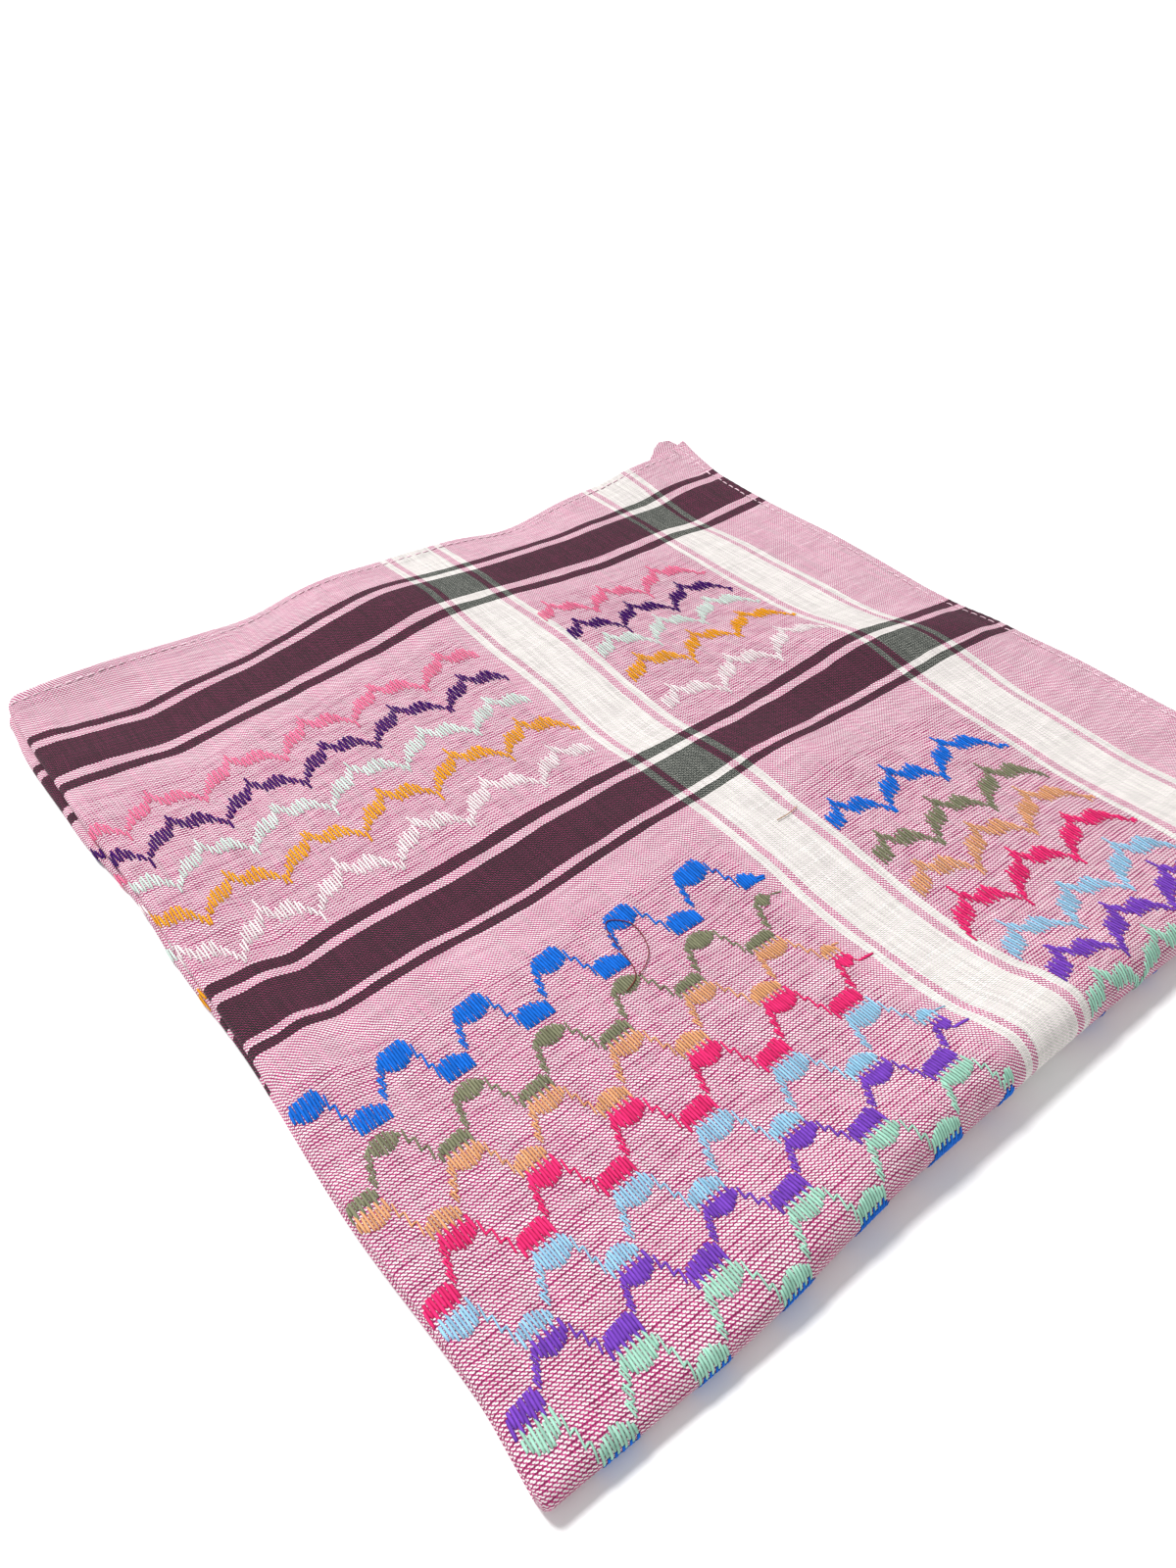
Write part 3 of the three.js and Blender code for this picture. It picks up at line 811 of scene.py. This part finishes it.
def weft_colour(look, a, pair, over, dark):
    """The white or dark weft, darker where it dips with painted shade, and slubbed."""
    colour = look.mix(dark, linear(WHITE_YARN), linear(BLACK_YARN))
    slub = look.soft(look.streaks(a, pair, WEFT_GRAIN), 0.25, 0.75, *WEFT_SLUB_SHADES)
    # Painted shade: the weft darkens where it dips under the warp; the slub is uneven tone
    return look.shaded(colour, look.soft(over, 0.0, 0.5, *WEFT_DIP_PAINTED_SHADES) * slub)


def warp_colour(look, warp, b, warp_round, bulge, white):
    """The pink or white warp, darker at its sides and between two wefts with painted shade."""
    colour = look.mix(white, linear(MAGENTA_YARN), linear(CREAM_YARN))
    slub = look.soft(look.streaks(warp, b, WARP_GRAIN), 0.3, 0.7, *WARP_SLUB_SHADES)
    # Painted shade in the furrow between two wefts and on the warp's rounded sides; the slub is uneven tone
    furrow_painted_shade = look.soft(bulge, -2.0, 0.2, FURROW_PAINTED_SHADE, 1.0)
    side = look.soft(warp_round, 0.0, 0.25, *WARP_SIDE_PAINTED_SHADES)
    return look.shaded(colour, side * (slub * furrow_painted_shade))


def cloth_relief(look, a, b, zone, over):
    """Soft waves, ripples along the weft, and the yarns."""
    normal = look.bump(look.streaks(a, b, WAVE_GRAIN), WAVE_RELIEF)
    ripple = look.streaks(a, b, RIPPLE_GRAIN) * look.eased(zone, PLAIN_RIPPLE, 1.0)
    normal = look.bump(ripple, RIPPLE_RELIEF, normal)
    return look.bump(abs(over), YARN_RELIEF, normal)


def woven_cloth(name):
    """Plain weave with white weft, pink warp, dark and white bands."""
    look = Look(name)
    a_flat, b_flat = look.places("weave")
    waver = look.streaks(a_flat, b_flat, WAVER_GRAIN) - 0.5
    a = a_flat + waver * WAVER_A
    b = b_flat + waver * WAVER_B
    weft, weft_across, weft_wave = yarn(look, b, a, WEFT_PITCH, WARP_PITCH, WEFT_LEAN)
    warp, warp_across, _ = yarn(look, a, b, WARP_PITCH, WEFT_PITCH)
    warp_round = warp_across * warp_across
    pair = math.floor((weft + 0.5) * 0.5)
    dark, white = band_masks(look, weft, warp)
    zone = motif_zone(look, a_flat, b_flat)
    gaps = open_gaps(look, a, b) * zone

    bulge = weft_bulge(look, weft, weft_across, zone, dark)
    slub = look.streaks(a, pair, SLUB_GRAIN)
    over = weft_over(look, weft_wave, bulge, slub, gaps, zone, dark)
    below = warp_colour(look, warp, b, warp_round, bulge, white)
    above = weft_colour(look, a, pair, over, dark)
    colour = look.mix(look.soft(over, -YARN_EDGE, YARN_EDGE), below, above)
    # Painted shade in the gaps between weft pairs
    colour = look.shaded(colour, look.eased(gaps, 1.0, GAP_PAINTED_SHADE))
    # Painted shade: small dark dots in the holes where the yarns cross
    hole_painted_shade = look.soft(bulge, -1.6, 0.0, 1.0, 0.0) * look.soft(warp_round, 0.05, 0.18)
    colour = look.shaded(colour, look.eased(hole_painted_shade, 1.0, HOLE_PAINTED_SHADE))
    return look.finish(colour, cloth_relief(look, a_flat, b_flat, zone, over), 0.9, 0.04, 0.12)


def brocade(name, hex_colour, side_painted_shade=SIDE_PAINTED_SHADE):
    """Soft thread of one colour, darker at its sides with painted shade, and uneven in tone."""
    look = Look(name)
    up, along = look.places("thread")
    fibre = look.noise(up * 2.6, along * 0.8, 3.0)
    lot = look.noise(math.floor(along / THREAD_SPACE) * 3.7, 0.5, 1.0)
    # Painted shade: darker where the thread's face turns down to its sides; fibre and lot are uneven tone
    side = look.soft(up, 0.2, 0.95, side_painted_shade, 1.0)
    shade = look.soft(fibre, 0.3, 0.7, *FIBRE_SHADES) * side
    shade = shade * look.soft(lot, 0.3, 0.7, *LOT_SHADES)
    colour = look.shaded(linear(hex_colour), shade)
    return look.finish(colour, look.bump(fibre, FIBRE_RELIEF), 0.7, 0.0, 0.08)


def floor_finish():
    """The pale floor."""
    look = Look("pale_floor")
    look.surface["Base Color"].default_value = FLOOR_COLOUR
    look.surface["Roughness"].default_value = 0.9
    return look.material


# Cloth
def nose_and_face(t, end, count):
    """Cloth places a from inside the first fold, round its nose and out."""
    nose = float(nose_radius(np.array(t)))
    inside = np.linspace(-INSIDE_RUN, 0, 5)[:-1] + nose - math.pi * nose
    round_nose = nose - nose * np.linspace(math.pi, 0, 13)
    face = nose + (end - nose) * np.linspace(0, 1, count + 1)[1:]
    return np.concatenate([inside, round_nose, face])


def top_places(step):
    """Rows of the upper quarter: flat, then the roll, then a short run. Each
    is t, and what gives b there at each s."""
    places = []
    count = int(SIDE / step)
    for n in range(count + 1):
        share = 1 - n / count
        t = lerp(FLAT_FROM, PANEL_END, share)
        places.append((t, lambda s, k=share: lerp(roll_radius(s), PANEL_END, k)))
    for n in range(1, ROLL_ROWS + 1):
        angle = math.pi * n / ROLL_ROWS
        places.append((0.0, lambda s, k=angle: roll_radius(s) * (1 - k)))
    places.append((UNDER_END, lambda s: under_b(UNDER_END, s)))
    return places


def bottom_places(step):
    """Rows of the lower quarter, in the same form."""
    count = int(SIDE / step)
    rows = [lerp(UNDER_END, PANEL_END, n / count) for n in range(count + 1)]
    return [(t, lambda s, k=t: under_b(k, s)) for t in rows]


def cloth_piece(name, places, step, node, material):
    """One quarter of the outer cloth."""
    a_rows = np.array([nose_and_face(t, PANEL_END, int(PANEL_END / step)) for t, _ in places])
    b_rows = np.array([b_of(row) for row, (_, b_of) in zip(a_rows, places)])
    outer = outer_face(a_rows, b_rows)
    inner = outer_face(a_rows, b_rows, -THIN)
    piece = shell(name, outer, inner, weave_places(a_rows, b_rows), material, "pink_cloth")
    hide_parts(node)
    return piece


def lobe(s):
    """How far the second layer's corner stands out behind the top one."""
    return between(LOBE, 1, s)


def inner_depth(s, t, angle):
    """How deep the hidden cloth lies: it leaves the fold's nose at half
    height, nears the outer cloth, and waves a little at the hems."""
    free = height(s, t) - 2 * INSET
    start = np.where(angle > 1, 2.1, 0.4)
    wave = 0.5 + 0.5 * np.sin(s / 21.0 + 1.9 * np.sin(t / 33.0) + start)
    near = INSET + HIDDEN_WAVE * free * wave
    return lerp(2 * nose_radius(t), near, smoothstep(s, 6, 34))


def inner_rows(s_row):
    """Rows of t and angle, from the upper back edge round to the lower one."""
    count = int(SIDE / INNER_STEP)
    back = HIDDEN_END + lobe(s_row)
    low_back = HIDDEN_END + 0.5 * lobe(s_row)
    roll = roll_radius(s_row)
    rows = [(lerp(back, HIDDEN_HEM, n / 6), 0.0) for n in range(6)]
    rows += [(lerp(HIDDEN_HEM, roll, n / count), 0.0) for n in range(count + 1)]
    rows += [(0 * roll, math.pi * n / 10) for n in range(1, 10)]
    rows += [(lerp(roll, HIDDEN_HEM, n / count), math.pi) for n in range(count + 1)]
    rows += [(lerp(HIDDEN_HEM, low_back, n / 6), math.pi) for n in range(1, 7)]
    return rows


def inner_cloth(material):
    """The two hidden quarters: one sheet that rolls inside the second fold."""
    s_row = np.linspace(HIDDEN_START, HIDDEN_END, int(SIDE / INNER_STEP))
    rows = inner_rows(s_row)
    t = np.array([row[0] for row in rows])
    angle = np.array([[row[1]] * len(s_row) for row in rows])
    s = np.array([s_row] * len(rows))
    on_roll = (angle > 0) & (angle < math.pi)
    depth = inner_depth(s, np.where(on_roll, 0, t), angle)
    at_lobe = smoothstep(lobe(s), 1, 6) * smoothstep(t, 225, 245)
    lift = np.maximum(INSET - 0.3 - depth, -LOBE_LIFT) * at_lobe
    depth = depth + np.where(angle < 1, lift - LOBE_RISE * np.maximum(0, t - SIDE), 0)
    hem = np.maximum(*(smoothstep(place, HEM_IN - 0.3, HEM_IN + 0.5) for place in (s, t)))
    outer = in_space(s, depth - 0.15 * hem, t, angle)
    inner = in_space(s, depth + THIN + 0.45 * hem, t, angle)
    weave = weave_places(-s - HIDDEN_SHIFT, np.where(angle < 1, t, -t))
    grids = (grid[:, ::-1] for grid in (inner, outer, weave))
    piece = shell("cloth_inner", *grids, material, "hidden_cloth")
    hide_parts("inner_layers")
    return piece


# Hems
def pucker(place):
    """How much the stitches pull the hem in and let it out again."""
    stitched = 0.06 * np.cos(2 * math.pi * place / STITCH_PITCH)
    return stitched + 0.12 * np.sin(place / 5.3) * np.sin(place / 12.1)


def right_hem(material):
    """The hem of the outer cloth along its right side, top, roll and below."""
    face = np.linspace(SIDE, FLAT_FROM, 330)
    rolled = FLAT_FROM - FLAT_FROM * np.linspace(0, math.pi, 14)[1:]
    under = np.linspace(-13, -SIDE + 6, 120)
    rings = []
    for b in np.concatenate([face, rolled, under]):
        pull = pucker(b)
        rings.append([(HEM_IN + across, b, lift + pull * (lift > 0)) for across, lift in HEM_SECTION])
    a, b, lift = np.moveaxis(np.array(rings), -1, 0)
    piece = tube("hem_right", outer_face(a, b, lift), weave_places(a, b), material)
    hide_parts("top_right_hem", "bottom_right_hem")
    return piece


def back_hem(name, node, below, material):
    """The hem along the back side of the upper or the lower pair."""
    nose = float(nose_radius(np.array(247.0)))
    round_nose = nose - nose * np.linspace(math.pi + 3.4, 0, 18)
    rings = []
    for a in np.concatenate([round_nose, np.linspace(nose + 0.8, PANEL_END, 320)]):
        pull = pucker(a)
        ring = []
        for across, lift in HEM_SECTION:
            t = HEM_IN + across
            b = float(under_b(t, np.array(a))) if below else t
            ring.append((a, b, lift + pull * (lift > 0)))
        rings.append(ring if below else ring[::-1])
    a, b, lift = np.moveaxis(np.array(rings), -1, 0)
    points = outer_face(a, b, np.minimum(lift, HEM_LOW) if below else lift)
    piece = tube(name, points, weave_places(a, b), material)
    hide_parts(node)
    return piece


# Threads
def thread_rings(threads, wide, flat, lifts, segments, turn):
    """Rings of points for threads on the outer cloth: the places, how high
    they stand, and the length of each thread."""
    starts = threads[:, :2]
    direction = threads[:, 2:] - starts
    along = np.linspace(0, 1, segments + 1)
    line = starts[:, None, :] + direction[:, None, :] * along[None, :, None]
    length = np.maximum(np.linalg.norm(direction, axis=1), 1e-6)
    side = np.stack([direction[:, 1], -direction[:, 0]], axis=1) / length[:, None]
    arch = np.sin(math.pi * np.clip(along, 0.02, 0.98)) ** ARCH_POWER
    ring_wide = wide[:, None] * lerp(END_WIDE, 1.0, arch)[None, :]
    out = np.cos(turn)[None, None, :] * (ring_wide / 2)[:, :, None]
    place = line[:, :, None, :] + side[:, None, None, :] * out[..., None]
    middle = lerp(lifts[1], lifts[0], arch)
    up = np.sin(turn)[None, None, :] * flat / 2 + middle[None, :, None]
    return place, np.broadcast_to(up, place.shape[:3]), length


def thread_piece(name, threads, material, form, segments=4, sides=6):
    """Many short threads as one mesh. Each is (a, b, a, b), and may end with
    its share of the full width. Their form is (width, height, lifts)."""
    wide, flat, lifts = form
    shares = np.array([thread[4] if len(thread) > 4 else 1.0 for thread in threads])
    threads = np.array([thread[:4] for thread in threads], float)
    turn = np.linspace(0, 2 * math.pi, sides, endpoint=False) + math.pi / sides
    place, up, length = thread_rings(threads, wide * shares, flat, lifts, segments, turn)
    points = outer_face(place[..., 0], place[..., 1], up)
    along = np.linspace(0, 1, segments + 1)[None, :] * length[:, None]
    along = along + THREAD_SPACE * np.arange(len(threads))[:, None]
    # The thread map holds how far each point faces up, for the painted side shade, and the place along the
    # threads
    facing, along = np.broadcast_arrays(np.sin(turn)[None, None, :], along[:, :, None])
    maps = {"thread": np.stack([facing, along], axis=-1).reshape(-1, 2)}
    faces = tube_faces(len(threads), segments + 1, sides)
    return make_object(name, points.reshape(-1, 3), faces, maps, material)


def side_of(n):
    """1 and -1 in turn, so that neighbouring threads alternate."""
    return 1 if n % 2 else -1


def tooth(n):
    """How far the ends of neighbouring threads alternate."""
    return TOOTH * side_of(n) + uneven(RAGGED)


# Rows of leaves
def leaf_ends(u):
    """The low and the high end of a leaf's thread at place u."""
    u = min(max(u, 0), LEAF_LONG)
    places, lows, highs = zip(*LEAF)
    return float(np.interp(u, places, lows)), float(np.interp(u, places, highs))


def leaf_threads(row):
    """The threads of one row of leaves. Past the last leaf a thin tail drops."""
    _, start, end, middle_start, middle_end, peaks = row
    valleys = [peak - LEAF_PEAK for peak in peaks]
    valleys.append(valleys[-1] + LEAF_LONG)
    threads = []
    for n in range(int((end - start) / LEAF_STEP) + 1):
        a = start + n * LEAF_STEP
        middle = lerp(middle_start, middle_end, (a - start) / (end - start))
        if a >= valleys[-1]:
            low, high = (leaf_ends(LEAF_LONG)[1] - back for back in LEAF_TAIL)
            middle = middle - (a - valleys[-1]) * TAIL_DROP
        else:
            leaf = max(k for k in range(len(valleys)) if k == 0 or valleys[k] <= a)
            u = (a - valleys[leaf]) / (valleys[leaf + 1] - valleys[leaf]) * LEAF_LONG
            low, high = leaf_ends(u + LEAF_LONG if u < 0 else u)
        lean = LEAN * side_of(n) + uneven(SKEW)
        shift = tooth(n)
        top = middle + high + tooth(n) * 0.6 + shift * 0.4
        threads.append((a + lean, middle + low + shift, a - lean, top))
    return threads


# The net
def blob_edge(kind, share, n):
    """How far a blob's end stands back at share (-1 to 1) across it."""
    ragged = uneven(RAGGED)
    if kind == "bowl":
        return 1.6 * share ** 2 + 0.15 * (n % 2) + ragged
    if kind == "rise":
        corner = 1.0 if abs(share) > 0.9 else 0.0
        return 1.1 * (1 - share) / 2 + corner + 0.15 * (n % 2) + ragged
    if kind == "fall":
        back = 1.6 * smoothstep(share, -0.2, 1.0) + 1.2 * smoothstep(-share, 0.6, 1.0)
        return back + 0.4 * (n % 2) + ragged
    if kind == "teeth":
        return 1.3 * (n % 2) + 0.5 * ragged
    return 0.5 * abs(ragged)


def blob_threads(middle, half, blob, shift):
    """Threads side by side whose ends draw the blob's outline."""
    low, high, low_kind, high_kind = blob
    threads = []
    count = int(round(2 * half / THREAD_STEP))
    for n in range(count + 1):
        share = 2 * n / count - 1
        a = middle + shift + half * share
        if NET_START <= a <= NET_END:
            bottom = low + float(blob_edge(low_kind, share, n))
            top = high - float(blob_edge(high_kind, share, n + (high_kind == "teeth")))
            lean = 0.4 * LEAN * side_of(n) + uneven(SKEW)
            threads.append((a + lean, bottom, a - lean, top))
    return threads


def link_threads(start, end, doubled):
    """A stepped line of short threads from one blob's end to the next."""
    threads = []
    step = (end[0] - start[0]) / LINK_STEPS
    for n in range(LINK_STEPS):
        a = lerp(start[0], end[0], (n + 0.5) / LINK_STEPS)
        low = lerp(start[1], end[1], n / LINK_STEPS)
        high = lerp(start[1], end[1], (n + 1) / LINK_STEPS)
        past = math.copysign(LINK_PAST, high - low)
        lean = LINK_LEAN + uneven(SKEW)
        threads.append((a + lean, low - past, a - lean, high + past, LINK_WIDE))
        if doubled:
            second = (a + lean + 0.5, low + past, a - lean + 0.45, high + 2 * past)
            threads.append((*second, LINK_WIDE))
        if n < LINK_STEPS - 1:
            threads.append((a - lean, high, a + step + lean, high - past, LINK_WIDE))
    return threads


def join(left, right, shift):
    """The link between two neighbouring blobs, each (middle, half, blob)."""
    left_low, left_high = left[2][:2]
    right_low, right_high = right[2][:2]
    rising = right_low > left_low
    leave, reach = LINK_RISING if rising else LINK_FALLING
    start = (left[0] + left[1] + LINK_OFF + shift, lerp(left_low, left_high, leave))
    end = (right[0] - right[1] - LINK_OFF + shift, lerp(right_low, right_high, reach))
    return link_threads(start, end, rising)


def net_threads(row):
    """The threads of one zigzag: its blobs, then the links between them."""
    _, shift, blob_a, blob_b = row
    blobs = []
    for place_a, place_b in zip(COLUMNS_A, COLUMNS_B):
        blobs.append((*place_a, blob_a))
        blobs.append((*place_b, blob_b))
    middle, half, (low, high, low_kind, high_kind) = blobs[-1]
    cut_off = (1 - LAST_TALL) / 2 * (high - low)
    blobs[-1] = (middle, half, (low + cut_off, high - cut_off, low_kind, high_kind))
    threads = []
    for middle, half, blob in blobs:
        threads += blob_threads(middle, half, blob, shift)
    for left, right in zip(blobs, blobs[1:]):
        threads += join(left, right, shift)
    return threads


def in_view(thread):
    """Whether a thread lies on the top, a roll or a nose."""
    return thread[1] > -16 or thread[0] < 7


def brocade_pieces():
    """For each colour one piece of floats that show, and one of those below."""
    charts = {}
    for row in LEAVES:
        charts.setdefault(row[0], []).extend(leaf_threads(row))
    for row in NET:
        charts.setdefault(row[0], []).extend(net_threads(row))
    for colour, *thread in TAILS:
        charts[colour].append(tuple(thread))
    for colour, threads in charts.items():
        hex_colour, wide = THREADS[colour]
        form = (wide, FLOAT_HIGH, FLOAT_LIFTS)
        # Painted shade at the threads' sides, less of it on the pale colours
        side_painted_shade = PALE_SIDE_PAINTED_SHADE if colour in PALE else SIDE_PAINTED_SHADE
        finish = brocade("thread_" + colour, hex_colour, side_painted_shade)
        shown = [thread for thread in threads if in_view(thread)]
        hidden = [thread for thread in threads if not in_view(thread)]
        thread_piece("floats_" + colour, shown, finish, form)
        if hidden:
            name = "floats_below_" + colour
            thread_piece(name, hidden, finish, form, segments=1, sides=4)


def hem_stitches(material):
    """Lines of stitches along the hems of the outer cloth."""
    threads = []
    line = SIDE - STITCH_IN
    for n in range(int(2 * SIDE / STITCH_PITCH)):
        b = SIDE - 2 - n * STITCH_PITCH + uneven(0.15)
        off = line + uneven(0.12)
        threads.append((off, b, off + uneven(0.1), b - STITCH_LONG))
    for n in range(int(SIDE / STITCH_PITCH)):
        a = 1 + n * STITCH_PITCH + uneven(0.15)
        off = line + uneven(0.12)
        if a + STITCH_LONG < PANEL_END:
            threads.append((a, off, a + STITCH_LONG, off + uneven(0.1)))
    thread_piece("hem_stitches", threads, material, STITCH_FORM)


def curve_places(knots, count):
    """Places along a smooth curve through the knots, count for each stretch."""
    knots = [np.array(knot) for knot in (knots[0], *knots, knots[-1])]
    places = []
    for before, start, end, after in zip(knots, knots[1:], knots[2:], knots[3:]):
        slope_in, slope_out = (end - before) / 2, (after - start) / 2
        for n in range(count):
            u = n / count
            place = (2 * u ** 3 - 3 * u ** 2 + 1) * start + (u ** 3 - 2 * u ** 2 + u) * slope_in
            place = place + (3 * u ** 2 - 2 * u ** 3) * end + (u ** 3 - u ** 2) * slope_out
            places.append(tuple(place))
    return places + [tuple(knots[-1])]


def stray_thread(name, knots, material):
    """A loose thread that lies on the cloth."""
    places = curve_places(knots, 6)
    pieces = [(*here, *there) for here, there in zip(places, places[1:])]
    thread_piece(name, pieces, material, STRAY_FORM, segments=1)


# The room
def add_floor():
    """A plain square floor, which isn't part of the object."""
    corners = [(-1, -1), (1, -1), (1, 1), (-1, 1)]
    mesh = bpy.data.meshes.new("floor")
    mesh.from_pydata([(FLOOR_HALF * x, FLOOR_HALF * y, 0) for x, y in corners], [], [(0, 1, 2, 3)])
    mesh.materials.append(floor_finish())
    floor = bpy.data.objects.new("floor", mesh)
    bpy.context.scene.collection.objects.link(floor)


def add_light(name, place, size, power):
    """A round soft light that points at the middle of the cloth."""
    data = bpy.data.lights.new(name, "AREA")
    data.shape = "DISK"
    data.size = size
    data.energy = power
    light = bpy.data.objects.new(name, data)
    light.location = place
    light.rotation_mode = "QUATERNION"
    light.rotation_quaternion = (-Vector(place)).to_track_quat("-Z", "Y")
    bpy.context.scene.collection.objects.link(light)


def add_world():
    """Even white light from all round."""
    world = bpy.data.worlds.new("room")
    world.use_nodes = True
    sky = world.node_tree.nodes["Background"]
    sky.inputs[0].default_value = (1.0, 1.0, 1.0, 1.0)
    sky.inputs[1].default_value = WORLD_LIGHT
    bpy.context.scene.world = world


def add_camera():
    """The camera at the photo's place and angle."""
    yaw, down, roll = (math.radians(angle) for angle in (CAMERA_YAW, CAMERA_DOWN, CAMERA_ROLL))
    turn = Matrix.Rotation(yaw - math.pi / 2, 4, "Z")
    turn = turn @ Matrix.Rotation(math.pi / 2 - down, 4, "X") @ Matrix.Rotation(roll, 4, "Z")
    data = bpy.data.cameras.new("camera")
    data.lens = CAMERA_LENS
    data.sensor_width = 36.0
    data.clip_start = 0.01
    camera = bpy.data.objects.new("camera", data)
    camera.matrix_world = Matrix.Translation(Vector(CAMERA_PLACE) * MM) @ turn
    bpy.context.scene.collection.objects.link(camera)
    bpy.context.scene.camera = camera


add_camera()
add_floor()
add_world()
add_light("key", *KEY_LIGHT)
add_light("fill", *FILL_LIGHT)
bpy.context.scene.view_settings.view_transform = "Standard"

cloth_finish = woven_cloth("woven_cloth")
top_cloth = cloth_piece("cloth_top", top_places(TOP_STEP), TOP_STEP, "top_layer", cloth_finish)
low_cloth = cloth_piece("cloth_bottom", bottom_places(LOW_STEP), LOW_STEP, "bottom_layer", cloth_finish)
hidden_cloth = inner_cloth(cloth_finish)
hem_right = right_hem(cloth_finish)
hem_back_top = back_hem("hem_back_top", "top_back_hem", False, cloth_finish)
hem_back_low = back_hem("hem_back_bottom", "bottom_back_hem", True, cloth_finish)
brocade_pieces()
hem_stitches(brocade("thread_hem", HEM_THREAD, HEM_SIDE_PAINTED_SHADE))
stray_thread("stray_loop", LOOP, brocade("thread_red", STRAY_RED))
stray_thread("stray_fibre", FIBRE, brocade("thread_tan", STRAY_TAN))
